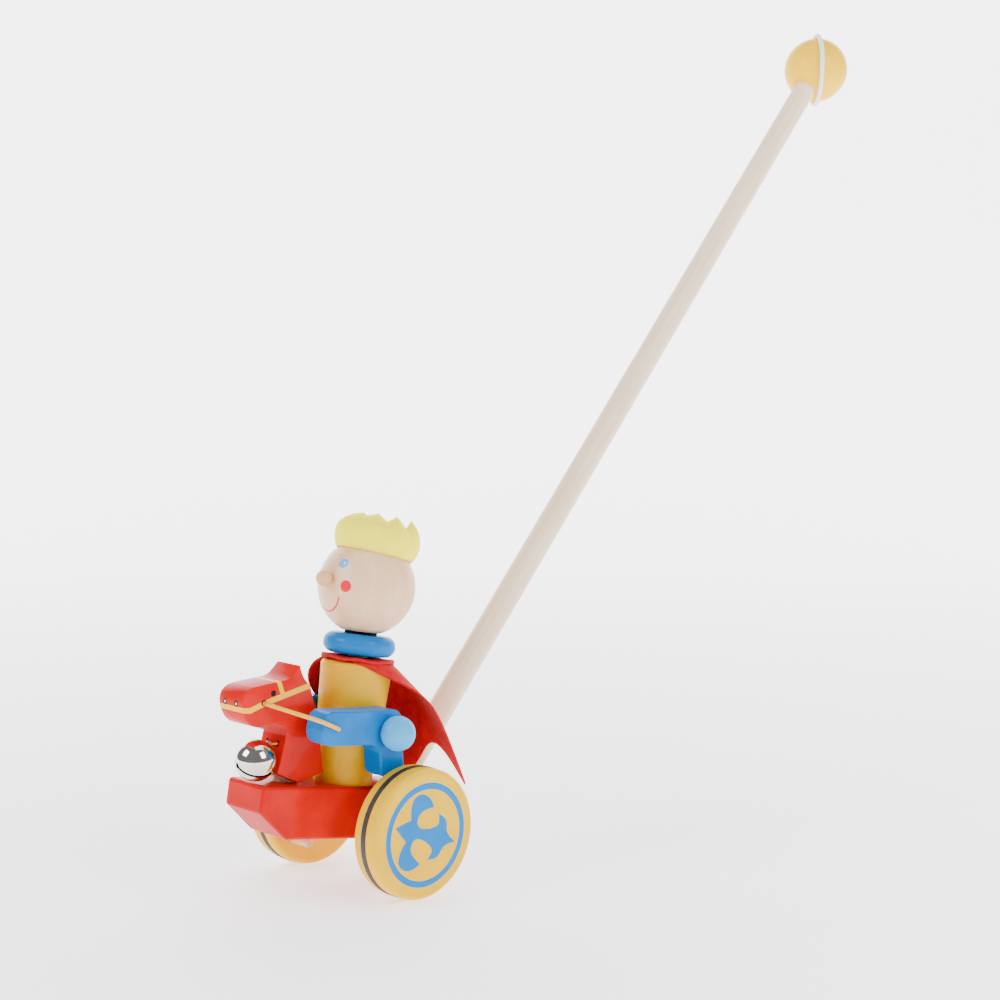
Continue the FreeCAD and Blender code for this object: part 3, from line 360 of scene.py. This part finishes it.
# %% Wheel finish with its printed ring
RING_MIDDLE, RING_HALF = 26.2, 1.75
WHEEL_FACE, PRINT_DEPTH = 55.0, 0.3
wheel_finish, wheel_tree, wheel_shader, wheel_place = new_finish("yellow lacquered wheel", **LACQUER)
wheel_colour = mottle(wheel_tree, wheel_place, "#eab600", "#f2c000", COLOUR_PATCH)
wheel_mm = add_node(wheel_tree, "ShaderNodeMapping", {"Vector": wheel_place,
                                                      "Location": (0, 0, AXLE_HEIGHT),
                                                      "Scale": (0.001, 0.001, 0.001)},
                    vector_type="TEXTURE").outputs[0]
wheel_parts = add_node(wheel_tree, "ShaderNodeSeparateXYZ", {0: wheel_mm})
wheel_flat = add_node(wheel_tree, "ShaderNodeCombineXYZ", {1: wheel_parts.outputs["Y"],
                                                           2: wheel_parts.outputs["Z"]})
wheel_away = add_node(wheel_tree, "ShaderNodeVectorMath", {0: wheel_flat.outputs[0]},
                      operation="LENGTH").outputs["Value"]
ring_band = add_node(wheel_tree, "ShaderNodeMath", {0: wheel_away, 1: RING_MIDDLE, 2: RING_HALF},
                     operation="COMPARE")
side_distance = add_node(wheel_tree, "ShaderNodeMath", {0: wheel_parts.outputs["X"]},
                         operation="ABSOLUTE")
outer_only = add_node(wheel_tree, "ShaderNodeMath", {0: side_distance.outputs[0],
                                                     1: WHEEL_FACE - PRINT_DEPTH},
                      operation="GREATER_THAN")
ring_mask = add_node(wheel_tree, "ShaderNodeMath", {0: ring_band.outputs[0], 1: outer_only.outputs[0]},
                     operation="MULTIPLY").outputs[0]
wheel_tree.links.new(print_over(wheel_tree, wheel_colour, ring_mask, "#0078c0"),
                     wheel_shader.inputs["Base Color"])
orange_peel(wheel_tree, wheel_shader, wheel_place)

# %% [markdown]
# The horse wears a yellow bridle: a band round the muzzle, a cheek strap to the back of the head and
# a band over the brow. Straps drawn by distance from a line wrap round the corners of the wood by
# themselves, which a flat picture on each side would not do. The eyes and the nostrils are printed
# dots. The hole that the rein goes through and the slits for the bell's thread are not cut: dark dots
# of painted shade stand in for them.

# %% Horse finish with its bridle
MOUTH = (-83.0, 61.0)
BRIDLE = (((-99, 56.9), (-91.4, 56.9), 2.7), ((-91.8, 56.8), MOUTH, 2.9),
          (MOUTH, (-54.4, 71.5), 3.0), ((-71.4, 65.4), (-76.6, 75.0), 2.7))
# The rein hole and the thread slits are not cut: their dark inks are painted shade.
DARK_INK, WHITE_INK, REIN_HOLE_SHADE, SLIT_SHADE = "#141414", "#f0f0f0", "#4a0a06", "#3a0604"
HORSE_DOTS = (((10.0, -78.0, 66.4), 1.6, DARK_INK), ((4.8, -97.2, 59.7), 1.7, DARK_INK),
              ((4.8, -97.2, 59.7), 0.65, WHITE_INK), ((10.0, -83.4, 61.3), 1.7, REIN_HOLE_SHADE),
              ((4.6, -66.6, 38.8), 1.0, SLIT_SHADE), ((4.6, -66.6, 40.4), 1.0, SLIT_SHADE))
horse_finish, horse_tree, horse_shader, horse_place = new_finish(
    "red lacquered horse", **dict(LACQUER, Coat_Roughness=0.1))
horse_colour = mottle(horse_tree, horse_place, "#c20a06", "#ce100a", COLOUR_PATCH)
horse_mm = chassis_place(horse_tree, horse_place)
for start, end, width in BRIDLE:
    horse_colour = print_over(horse_tree, horse_colour, strap(horse_tree, horse_mm, start, end, width),
                              "#f6bc18")
for side in (-1, 1):
    for (across, along, up), radius, ink in HORSE_DOTS:
        dot = spot(horse_tree, horse_mm, (side * across, along, up), radius)
        horse_colour = print_over(horse_tree, horse_colour, dot, ink)
horse_tree.links.new(horse_colour, horse_shader.inputs["Base Color"])
orange_peel(horse_tree, horse_shader, horse_place)

# %% [markdown]
# The CAD pieces take their finishes now. Each keeps its own mesh, so only the material slot changes.

# %% Finishes for the CAD pieces
FINISH_OF = {
    "base_block": red_lacquer, "trunk": trunk_lacquer, "collar_ring": blue_lacquer,
    # The black felt on the neck washer is painted shade for the gap under the head.
    "head": head_finish, "nose": nose_finish, "neck_washer": shade_black_felt,
    "foot_dowel": peg_beech, "neck_dowel": peg_beech,
    "shoulder_dowel": dowel_beech, "horse_tongue": peg_beech, "push_rod": rod_beech,
    "handle_ball": ball_lacquer, "axle": steel, "horse_pin": steel, "bell_pellet": steel,
    "rein_middle": rein_cord, "hanging_loop": white_cord,
}
for side in ("left", "right"):
    FINISH_OF[f"wheel_{side}"] = wheel_finish
    FINISH_OF[f"tread_band_{side}"] = rubber
    FINISH_OF[f"wheel_peg_{side}"] = dowel_beech
    FINISH_OF[f"axle_spacer_{side}"] = dowel_beech
    FINISH_OF[f"arm_{side}"] = blue_lacquer
    FINISH_OF[f"shoulder_knob_{side}"] = sky_lacquer
    FINISH_OF[f"rein_end_{side}"] = rein_cord
for node_name, finish in FINISH_OF.items():
    mesh = cad_piece[node_name].data
    mesh.materials.clear()
    mesh.materials.append(finish)
print(len(FINISH_OF), "CAD pieces finished")

# %% [markdown]
# New pieces are drawn in chassis millimetres. A few helpers take up what every piece needs. The
# most important one tips the mesh into place, gives it its finish and ties it to its body, so the
# object itself stays at the origin, unturned.

# %% Helpers for new pieces
FELT_THICKNESS, YOKE_THICKNESS = 0.0012, 0.0016
CREASE_ANGLE = math.radians(40)


def put_in_scene(name, data):
    thing = bpy.data.objects.new(name, data)
    bpy.context.scene.collection.objects.link(thing)
    return thing


def mesh_of(shape, name):
    """The mesh of a finished bmesh, which is freed."""
    mesh = bpy.data.meshes.new(name)
    shape.to_mesh(mesh)
    shape.free()
    return mesh


def vertices_in(geometry):
    return [item for item in geometry if isinstance(item, bmesh.types.BMVert)]


def seat_piece(name, mesh, finish, body, smooth=True):
    """Makes an object of a mesh drawn in chassis millimetres."""
    mesh.transform(CHASSIS)
    mesh.materials.clear()
    mesh.materials.append(finish)
    mesh.shade_smooth() if smooth else mesh.shade_flat()
    piece = put_in_scene(name, mesh)
    if body:
        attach(piece, body)
    return piece


def settled_mesh(thing):
    """The mesh of an object with its modifiers or its curve worked out; the object is removed."""
    bpy.context.view_layer.update()
    depsgraph = bpy.context.evaluated_depsgraph_get()
    mesh = bpy.data.meshes.new_from_object(thing.evaluated_get(depsgraph))
    bpy.data.objects.remove(thing)
    return mesh


def cut_away(piece, name, cutter):
    """Adds a modifier that cuts another object's shape out of a piece."""
    cut = piece.modifiers.new(name, "BOOLEAN")
    cut.object = cutter
    cut.operation = "DIFFERENCE"
    cut.solver = "EXACT"


def add_thickness(piece, thickness):
    felt = piece.modifiers.new("felt thickness", "SOLIDIFY")
    felt.thickness = thickness
    felt.offset = 0


def crease_edges(piece):
    """Keeps sawn and cut edges crisp on a piece that is shaded smooth."""
    crease = piece.modifiers.new("crease", "EDGE_SPLIT")
    crease.split_angle = CREASE_ANGLE


def merge_doubles(mesh, distance):
    shape = bmesh.new()
    shape.from_mesh(mesh)
    bmesh.ops.remove_doubles(shape, verts=shape.verts, dist=distance)
    bmesh.ops.recalc_face_normals(shape, faces=shape.faces)
    shape.to_mesh(mesh)
    shape.free()
    return mesh


def sawn_board(name, outline, half_thickness, rounding, sharp=()):
    """A board sawn to a smooth outline, given as (along, up), with its edges rounded over."""
    drawing = bpy.data.curves.new(name, "CURVE")
    drawing.dimensions = "2D"
    drawing.fill_mode = "FRONT"
    drawing.resolution_u = 5
    line = drawing.splines.new("BEZIER")
    line.bezier_points.add(len(outline) - 1)
    for index, (point, place) in enumerate(zip(line.bezier_points, outline)):
        point.co = (place[0], place[1], 0)
        kind = "VECTOR" if index in sharp else "AUTO"
        point.handle_left_type = kind
        point.handle_right_type = kind
    line.use_cyclic_u = True
    board = bmesh.new()
    board.from_mesh(settled_mesh(put_in_scene(name, drawing)))
    bmesh.ops.remove_doubles(board, verts=board.verts, dist=0.01)
    bmesh.ops.dissolve_faces(board, faces=board.faces[:])
    bmesh.ops.translate(board, vec=(0, 0, -half_thickness), verts=board.verts)
    grown = bmesh.ops.extrude_face_region(board, geom=board.faces[:], use_keep_orig=True)["geom"]
    bmesh.ops.translate(board, vec=(0, 0, 2 * half_thickness), verts=vertices_in(grown))
    bmesh.ops.recalc_face_normals(board, faces=board.faces)
    if rounding:
        rims = [edge for edge in board.edges if edge.calc_face_angle(0) > math.radians(60)
                and abs(edge.verts[0].co.z - edge.verts[1].co.z) < 0.01]
        bmesh.ops.bevel(board, geom=rims, offset=rounding, segments=3, profile=0.5, affect="EDGES",
                        material=-1, clamp_overlap=True)
    return mesh_of(board, name)


# Turns a board drawn as (along, up) on its side, with its thickness across the toy.
SIDE_VIEW = Matrix(((0, 0, 1, 0), (1, 0, 0, 0), (0, 1, 0, 0), (0, 0, 0, 1)))

# %% [markdown]
# The horse is a board twenty millimetres thick, sawn to the outline of a head and neck and rounded
# over with a router. The making follows the workshop: a flat curve is the saw's path, its filling is
# extruded to the board's thickness, and a bevel of the rims is the router's bit. A slot is cut up
# into the foot, with a Boolean, for the tongue that it rocks on.

# %% Horse
HORSE_OUTLINE = [(-62.6, 81.6), (-65.4, 77.9), (-68.8, 74.6), (-74.0, 72.9), (-80.5, 71.4),
                 (-87.5, 69.8), (-92.8, 68.2), (-96.2, 65.4), (-97.3, 61.8), (-96.6, 58.0),
                 (-94.4, 53.6), (-91.0, 50.2), (-86.8, 48.6), (-81.6, 49.0), (-76.4, 50.5),
                 (-71.4, 51.4), (-67.8, 49.6), (-66.4, 45.8), (-66.6, 41.0), (-67.4, 33.0),
                 (-68.7, 24.6), (-54.2, 19.9), (-37.8, 25.6), (-40.9, 36.0), (-44.6, 48.0),
                 (-48.0, 58.8), (-51.6, 65.4), (-54.6, 71.6), (-58.2, 74.6), (-60.8, 78.0)]
HORSE_CORNERS = {0, 20, 21, 22}
HORSE_HALF, HORSE_ROUNDING = 10.0, 1.5
SLOT_SIZE, SLOT_MIDDLE = (6.9, 14.4, 40), (0, -55, 13.5)
horse_mesh = sawn_board("horse board", HORSE_OUTLINE, HORSE_HALF, HORSE_ROUNDING, HORSE_CORNERS)
horse_mesh.transform(SIDE_VIEW)
horse_blank = put_in_scene("horse_blank", horse_mesh)
slot_shape = bmesh.new()
bmesh.ops.create_cube(slot_shape, size=1)
bmesh.ops.scale(slot_shape, vec=SLOT_SIZE, verts=slot_shape.verts)
bmesh.ops.translate(slot_shape, vec=SLOT_MIDDLE, verts=slot_shape.verts)
slot_cutter = put_in_scene("slot_cutter", mesh_of(slot_shape, "slot_cutter"))
cut_away(horse_blank, "slot", slot_cutter)
horse = seat_piece("horse_board", settled_mesh(horse_blank), horse_finish, "horse_head")
bpy.data.objects.remove(slot_cutter)
crease_edges(horse)
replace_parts(horse, "horse")
print("horse:", len(horse.data.vertices), "vertices")

# %% [markdown]
# The print in the middle of each wheel is a heraldic lily. It is cut from the same kind of outline
# as the horse, drawn for one half and mirrored. It is a tenth of a millimetre thick and mostly proud
# of the wood, so it lies on the wheel like a transfer. It turns with the wheels.

# %% Lilies on the wheels
LILY_HALF = [(-22.5, 0), (-17.8, 3.0), (-12.9, 5.8), (-14.3, 9.0), (-15.0, 13.4), (-14.2, 17.4),
             (-10.7, 20.0), (-5.6, 20.0), (-1.3, 17.7), (1.0, 15.3), (-4.2, 12.9), (-7.5, 10.2),
             (-8.4, 7.7), (-7.9, 4.9), (-5.3, 3.0), (-0.6, 3.2), (4.3, 4.9), (7.0, 6.9), (6.8, 9.6),
             (5.5, 12.5), (11.1, 10.7), (13.2, 8.5), (14.2, 5.3), (17.1, 2.4), (22.6, 0)]
LILY_SHARP_HALF = {0, 2, 9, 19, 24}
lily_outline = LILY_HALF + [(along, -across) for along, across in reversed(LILY_HALF[1:-1])]
turned_round = len(lily_outline)
mirrored_sharp = {turned_round - index for index in LILY_SHARP_HALF if 0 < index < 24}
lily_sharp = LILY_SHARP_HALF | mirrored_sharp
lily_print, lily_tree, lily_shader, lily_place = new_finish("blue screen print", **LACQUER)
lily_tree.links.new(mottle(lily_tree, lily_place, "#0074bc", "#007cc4", COLOUR_PATCH),
                    lily_shader.inputs["Base Color"])
LILY_TURN = math.radians(-20)
LILY_HALF_THICKNESS, LILY_LIFT = 0.05, 0.03
for side_name, side in (("left", 1), ("right", -1)):
    lily_mesh = sawn_board(f"lily {side_name}", lily_outline, LILY_HALF_THICKNESS, 0, lily_sharp)
    on_face = Matrix.Translation((side * (WHEEL_FACE + LILY_LIFT), 0, 0))
    upright = Matrix.Rotation(NOSE_UP, 4, "X") @ on_face
    lily_mesh.transform(upright @ Matrix.Rotation(LILY_TURN, 4, "X") @ SIDE_VIEW)
    seat_piece(f"lily_{side_name}", lily_mesh, lily_print, "wheel_set", smooth=False)

# %% [markdown]
# The bell is pressed from thin sheet in two cups, and here one hollow ball stands for both. A sound
# slot with a round hole at each end runs round its lower front. The ball is given a wall, and the
# slot is cut through it with a thin box and two cylinders.

# %% Bell
BELL_CENTRE = Vector((5.2, -80.2, 30.8))
BELL_RADIUS, BELL_WALL = 10.9, 0.6
SLOT_LENGTH, SLOT_WIDTH, HOLE_RADIUS = 17.6, 1.5, 1.5
slot_way = Vector((0.59, -0.49, -0.64)).normalized()
slot_run = Vector((0.68, 0.68, -0.25))
slot_run = (slot_run - slot_run.dot(slot_way) * slot_way).normalized()
slot_across = slot_way.cross(slot_run)
BELL_FRAME = Matrix((slot_run, slot_across, slot_way)).transposed().to_4x4()
BELL_FRAME.translation = BELL_CENTRE
ball = bmesh.new()
bmesh.ops.create_uvsphere(ball, u_segments=72, v_segments=48, radius=BELL_RADIUS)
bmesh.ops.solidify(ball, geom=ball.faces[:], thickness=BELL_WALL)
bell_blank = put_in_scene("bell_ball", mesh_of(ball, "bell ball"))
slot = bmesh.new()
bmesh.ops.create_cube(slot, size=1, matrix=Matrix.Translation((0, 0, BELL_RADIUS * 0.8))
                      @ Matrix.Diagonal((SLOT_LENGTH, SLOT_WIDTH, BELL_RADIUS, 1)))
holes = bmesh.new()
for way in (-1, 1):
    tip = Vector((way * 0.82, 0, 0.57)).normalized()
    turn = tip.to_track_quat("Z", "Y").to_matrix().to_4x4()
    bmesh.ops.create_cone(holes, cap_ends=True, segments=32, radius1=HOLE_RADIUS, radius2=HOLE_RADIUS,
                          depth=8, matrix=Matrix.Translation(tip * BELL_RADIUS) @ turn)
cutters = []
for tool_name, tool in (("slot", slot), ("holes", holes)):
    cutters.append(put_in_scene(f"bell_{tool_name}_cutter", mesh_of(tool, f"bell {tool_name}")))
    cut_away(bell_blank, tool_name, cutters[-1])
bell_mesh = settled_mesh(bell_blank)
for cutter in cutters:
    bpy.data.objects.remove(cutter)
bell_mesh.transform(BELL_FRAME)
bell = seat_piece("bell_shell", bell_mesh, nickel, "bell")
crease_edges(bell)
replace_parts(bell, "bell_upper_shell", "bell_lower_shell")
print("bell:", len(bell.data.vertices), "vertices")

# %% [markdown]
# The crown is a band of yellow felt with a pointed upper edge, glued low round the head. It bulges
# a little above its rim and leans in towards its points. A circle is extruded upwards ring by ring,
# each ring with its own radius, then Solidify gives the felt its thickness.

# %% Crown
CROWN_POINTS = 9
CROWN_TILT = math.radians(7.5)
CROWN_PROFILE = ((0.0, 20.6), (0.12, 21.8), (0.3, 23.0), (0.5, 23.5), (0.68, 23.0), (0.84, 21.5),
                 (1.0, 18.6))
CROWN_RIM, CROWN_BODY, CROWN_POINT = 18.0, 18.2, 6.0
crown_shape = bmesh.new()
bmesh.ops.create_circle(crown_shape, segments=24 * CROWN_POINTS, radius=CROWN_PROFILE[0][1])
ring_edges = crown_shape.edges[:]
for share, radius in CROWN_PROFILE[1:]:
    grown = bmesh.ops.extrude_edge_only(crown_shape, edges=ring_edges)["geom"]
    ring_edges = [item for item in grown if isinstance(item, bmesh.types.BMEdge)
                  and all(len(vert.link_edges) <= 3 for vert in item.verts) and item.is_boundary]
    ring = {vert for edge in ring_edges for vert in edge.verts}
    for vert in ring:
        turn = math.atan2(vert.co.y, vert.co.x)
        wave = abs((turn / math.tau * CROWN_POINTS + 0.28) % 1 - 0.5) * 2
        folded = 0.5 + 0.5 * math.cos(turn + math.radians(130))
        lift = CROWN_BODY + CROWN_POINT * (1 - 0.85 * folded) * (wave - 0.4) + 1.2 * folded
        ripple = 0.25 * math.sin(5 * turn) + 0.15 * math.sin(11 * turn + 1)
        lean = -(2.0 + 3.5 * folded) * share ** 5 * (0.4 + 0.6 * wave)
        vert.co = Vector((math.cos(turn), math.sin(turn), 0)) * (radius + ripple * share + lean)
        vert.co.z = share * lift
crown_place = (Matrix.Translation(HEAD_CENTRE) @ Matrix.Rotation(-CROWN_TILT, 4, "X")
               @ Matrix.Translation((0, 0, CROWN_RIM)))
bmesh.ops.transform(crown_shape, matrix=crown_place, verts=crown_shape.verts)
bmesh.ops.recalc_face_normals(crown_shape, faces=crown_shape.faces)
crown = seat_piece("felt_crown", mesh_of(crown_shape, "crown"), yellow_felt, "base")
add_thickness(crown, FELT_THICKNESS)
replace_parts(crown, "crown")

# %% [markdown]
# The cape is one piece of red felt, gathered under the collar and laid over the shoulders. Felt is
# stiff, so it falls in a few wide folds that keep their place. Those folds are listed: each row
# below is one line across the cape, from the neck's edge down to the hem. A grid takes these
# places, a Subdivision Surface smooths it into cloth, and Solidify gives the felt its thickness. A
# narrow felt yoke closes the front, where the cape does not meet under the collar.

# %% Cape
CAPE_NECK = [(-2.5, -24.7, 87.2), (-8.9, -18.7, 87.2), (-7.8, -10.1, 87.2), (0, -6, 87.2),
             (7.8, -10.1, 87.2), (8.9, -18.7, 87.2), (2.5, -24.7, 87.2)]
CAPE_RIM = [(-15.5, -27.5, 86.0), (-20.8, -19.5, 86.2), (-17.0, -2.7, 86.6), (0, 5.6, 86.6),
            (17.0, -2.7, 86.6), (21.6, -18.0, 86.4), (13.5, -33.4, 86.6)]
CAPE_SHOULDER = [(-24.0, -30.5, 78.5), (-27.8, -17.0, 77.0), (-20.0, 4.0, 78.0), (0, 17.0, 78.0),
                 (18.0, 5.0, 79.0), (25.0, -3.0, 80.0), (25.0, -11.5, 78.6)]
CAPE_BACK = [(-28.5, -24.5, 63.8), (-29.5, -8.0, 64.5), (-19.5, 13.0, 67.0), (0, 29.0, 69.5),
             (14.5, 25.0, 68.0), (26.5, 12.0, 71.0), (34.0, 7.0, 72.0)]
CAPE_LOW = [(-25.0, 12.0, 43.0), (-21.0, 15.0, 43.0), (-9.0, 20.0, 45.0), (5.0, 26.0, 49.0),
            (13.0, 30.0, 56.0), (25.5, 25.0, 58.0), (34.5, 22.0, 57.0)]
CAPE_HEM = [(-22.0, 24.0, 20.5), (-14.0, 18.5, 20.5), (-1.0, 20.5, 21.0), (9.6, 30.0, 26.0),
            (11.8, 33.3, 46.0), (22.5, 36.5, 42.5), (24.2, 55.4, 21.4)]
cape_rows = (CAPE_HEM, CAPE_LOW, CAPE_BACK, CAPE_SHOULDER, CAPE_RIM, CAPE_NECK)
cape_shape = bmesh.new()
bmesh.ops.create_grid(cape_shape, x_segments=6, y_segments=5, size=1)
for vert in cape_shape.verts:
    column, row = round((vert.co.x + 1) * 3), round((vert.co.y + 1) * 2.5)
    vert.co = cape_rows[row][column]
bmesh.ops.recalc_face_normals(cape_shape, faces=cape_shape.faces)
cape_cage = put_in_scene("cape_cage", mesh_of(cape_shape, "cape"))
fine = cape_cage.modifiers.new("fine", "SUBSURF")
fine.levels = 3
fine.render_levels = 3
fine.boundary_smooth = "PRESERVE_CORNERS"
cape = seat_piece("felt_cape", settled_mesh(cape_cage), red_felt, "base")
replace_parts(cape, "cape")
add_thickness(cape, FELT_THICKNESS)
YOKE_INNER, YOKE_OUTER = 8.5, 20.2
yoke_shape = bmesh.new()
bmesh.ops.create_circle(yoke_shape, segments=96, radius=YOKE_INNER)
ring = bmesh.ops.extrude_edge_only(yoke_shape, edges=yoke_shape.edges[:])["geom"]
for vert in vertices_in(ring):
    turn = math.atan2(vert.co.y, vert.co.x)
    vert.co *= (YOKE_OUTER + 0.3 * math.sin(3 * turn)) / YOKE_INNER
    vert.co.z = -0.4 + 0.35 * math.sin(7 * turn)
bmesh.ops.translate(yoke_shape, vec=(0, -15.5, 87.0), verts=yoke_shape.verts)
bmesh.ops.recalc_face_normals(yoke_shape, faces=yoke_shape.faces)
yoke = seat_piece("felt_yoke", mesh_of(yoke_shape, "yoke"), red_felt, "base")
add_thickness(yoke, YOKE_THICKNESS)

# %% [markdown]
# The reins are tight waxed cord. Each runs from the horse's mouth round the front edge of the hand
# to its hole, so its two ends move on different bodies. A tube along a curve is made in two lengths
# that meet where neither end pulls.

# %% Reins
def cord_along(name, places, radius, finish, body=None):
    """A round cord along smooth points in chassis millimetres."""
    drawing = bpy.data.curves.new(name, "CURVE")
    drawing.dimensions = "3D"
    drawing.bevel_depth = radius
    drawing.bevel_resolution = 4
    drawing.use_fill_caps = True
    drawing.resolution_u = 8
    line = drawing.splines.new("BEZIER")
    line.bezier_points.add(len(places) - 1)
    for point, place in zip(line.bezier_points, places):
        point.co = place
        point.handle_left_type = "AUTO"
        point.handle_right_type = "AUTO"
    tube = settled_mesh(put_in_scene(name, drawing))
    return seat_piece(name, merge_doubles(tube, 0.001), finish, body)


REIN_RADIUS = 1.1
for side_name, side, arm_body in (("left", 1, "left_arm"), ("right", -1, "right_arm")):
    mouth = Vector((side * 10.9, -83.0, 61.0))
    corner = Vector((side * 35.2, -63.4, 55.6))
    before_corner = mouth.lerp(corner, 0.93)
    hand = Vector((side * 35.2, -53.9, 52.7))
    after_corner = corner.lerp(hand, 0.3)
    parting = mouth.lerp(corner, 0.3)
    front = cord_along(f"rein_front_{side_name}", [mouth, mouth.lerp(parting, 0.5), parting],
                       REIN_RADIUS, rein_cord)
    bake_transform(front)
    back = cord_along(f"rein_back_{side_name}",
                      [parting, parting.lerp(before_corner, 0.5), before_corner, after_corner, hand],
                      REIN_RADIUS, rein_cord)
    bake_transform(back)
    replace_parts(back, f"rein_{side_name}")

# %% [markdown]
# The bell hangs close against the neck: gold thread comes out of two slits on the neck's front and
# goes through a wire eye on the bell's back. The eye is a small circle spun round.

# %% Bell's eye and thread
EYE_PLACE = Vector((2.1, -71.3, 38.6))
EYE_RING, WIRE_RADIUS, THREAD_RADIUS = 2.0, 0.45, 0.55
THREAD_WAY = [(4.6, -65.8, 39.8), (3.8, -68.0, 39.4), (2.1, -69.8, 38.9), (-1.5, -68.6, 39.4),
              (-4.6, -65.8, 39.8)]
eye_shape = bmesh.new()
bmesh.ops.create_circle(eye_shape, segments=12, radius=WIRE_RADIUS,
                        matrix=Matrix.Translation((EYE_RING, 0, 0))
                        @ Matrix.Rotation(math.radians(90), 4, "X"))
bmesh.ops.spin(eye_shape, geom=eye_shape.edges[:], cent=(0, 0, 0), axis=(0, 0, 1), angle=math.tau,
               steps=32, use_merge=True)
upright_eye = Matrix.Translation(EYE_PLACE) @ Matrix.Rotation(math.radians(90), 4, "Y")
bmesh.ops.transform(eye_shape, matrix=upright_eye, verts=eye_shape.verts)
bmesh.ops.recalc_face_normals(eye_shape, faces=eye_shape.faces)
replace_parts(seat_piece("bell_wire_eye", mesh_of(eye_shape, "bell eye"), steel, "bell"), "bell_eye")
thread = cord_along("bell_thread", [Vector(place) for place in THREAD_WAY], THREAD_RADIUS, gold_thread,
                    "bell")
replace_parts(thread, "bell_cord")

# %% [markdown]
# The studio is a pale sweep: a floor that curves up into a wall far behind, so that no horizon
# shows. The paper itself glows, three times as strongly in the distance as under the toy, which
# keeps the background bright while the toy is lit only gently.

# %% Studio sweep
SWEEP_WIDTH, SWEEP_CURVE = 8, 1.6
GLOW_NEAR, GLOW_FAR = 1.4, 4.2
sweep_shape = bmesh.new()
floor_front = sweep_shape.verts.new((-SWEEP_WIDTH / 2, -3, 0))
wall_foot = sweep_shape.verts.new((-SWEEP_WIDTH / 2, 3, 0))
wall_top = sweep_shape.verts.new((-SWEEP_WIDTH / 2, 3, 4))
sweep_shape.edges.new((floor_front, wall_foot))
sweep_shape.edges.new((wall_foot, wall_top))
bmesh.ops.bevel(sweep_shape, geom=[wall_foot], offset=SWEEP_CURVE, segments=16, profile=0.5,
                affect="VERTICES", material=-1)
grown = bmesh.ops.extrude_edge_only(sweep_shape, edges=sweep_shape.edges[:])["geom"]
bmesh.ops.translate(sweep_shape, vec=(SWEEP_WIDTH, 0, 0), verts=vertices_in(grown))
bmesh.ops.rotate(sweep_shape, cent=(0, 0, 0), matrix=Matrix.Rotation(math.radians(45), 3, "Z"),
                 verts=sweep_shape.verts)
bmesh.ops.recalc_face_normals(sweep_shape, faces=sweep_shape.faces)
sweep_mesh = mesh_of(sweep_shape, "studio_sweep")
sweep_mesh.shade_smooth()
sweep = put_in_scene("studio_sweep", sweep_mesh)
paper, paper_tree, paper_shader, paper_place = new_finish("matt white paper", Roughness=0.7)
paper_shader.inputs["Base Color"].default_value = linear("#f4f3f5")
paper_shader.inputs["Emission Color"].default_value = linear("#fdfbff")
paper_away = add_node(paper_tree, "ShaderNodeVectorMath", {0: paper_place},
                      operation="LENGTH").outputs["Value"]
paper_glow = add_node(paper_tree, "ShaderNodeMapRange", {0: paper_away, 1: 0.2, 2: 2.2, 3: GLOW_NEAR,
                                                         4: GLOW_FAR})
paper_tree.links.new(paper_glow.outputs[0], paper_shader.inputs["Emission Strength"])
sweep_mesh.materials.append(paper)

# %% [markdown]
# Three soft boxes light the toy: one stands in front of it, one on its left side, and a wide one
# hangs overhead. The camera has the first on its left and the second on its right. All are large
# beside the toy, so its shadows stay soft, and the air itself adds a little even light.

# %% Lights
def soft_box(name, place, target, width, height, power):
    lamp = bpy.data.lights.new(name, "AREA")
    lamp.shape = "RECTANGLE"
    lamp.size = width
    lamp.size_y = height
    lamp.energy = power
    thing = put_in_scene(name, lamp)
    thing.location = place
    thing.rotation_euler = (Vector(target) - Vector(place)).to_track_quat("-Z", "Y").to_euler()


soft_box("left_soft_box", (-0.5, -1.3, 1.2), (0, 0, 0.12), 0.8, 0.8, 24)
soft_box("right_soft_box", (1.3, 0.25, 1.0), (0, 0, 0.12), 0.7, 0.9, 17)
soft_box("top_soft_box", (0.1, 0.4, 2.0), (0, 0, 0.1), 1.4, 1.4, 20)
world = bpy.data.worlds.new("studio_air")
world.use_nodes = True
background = world.node_tree.nodes["Background"]
background.inputs["Color"].default_value = linear("#f6f6fa")
background.inputs["Strength"].default_value = 0.3
bpy.context.scene.world = world
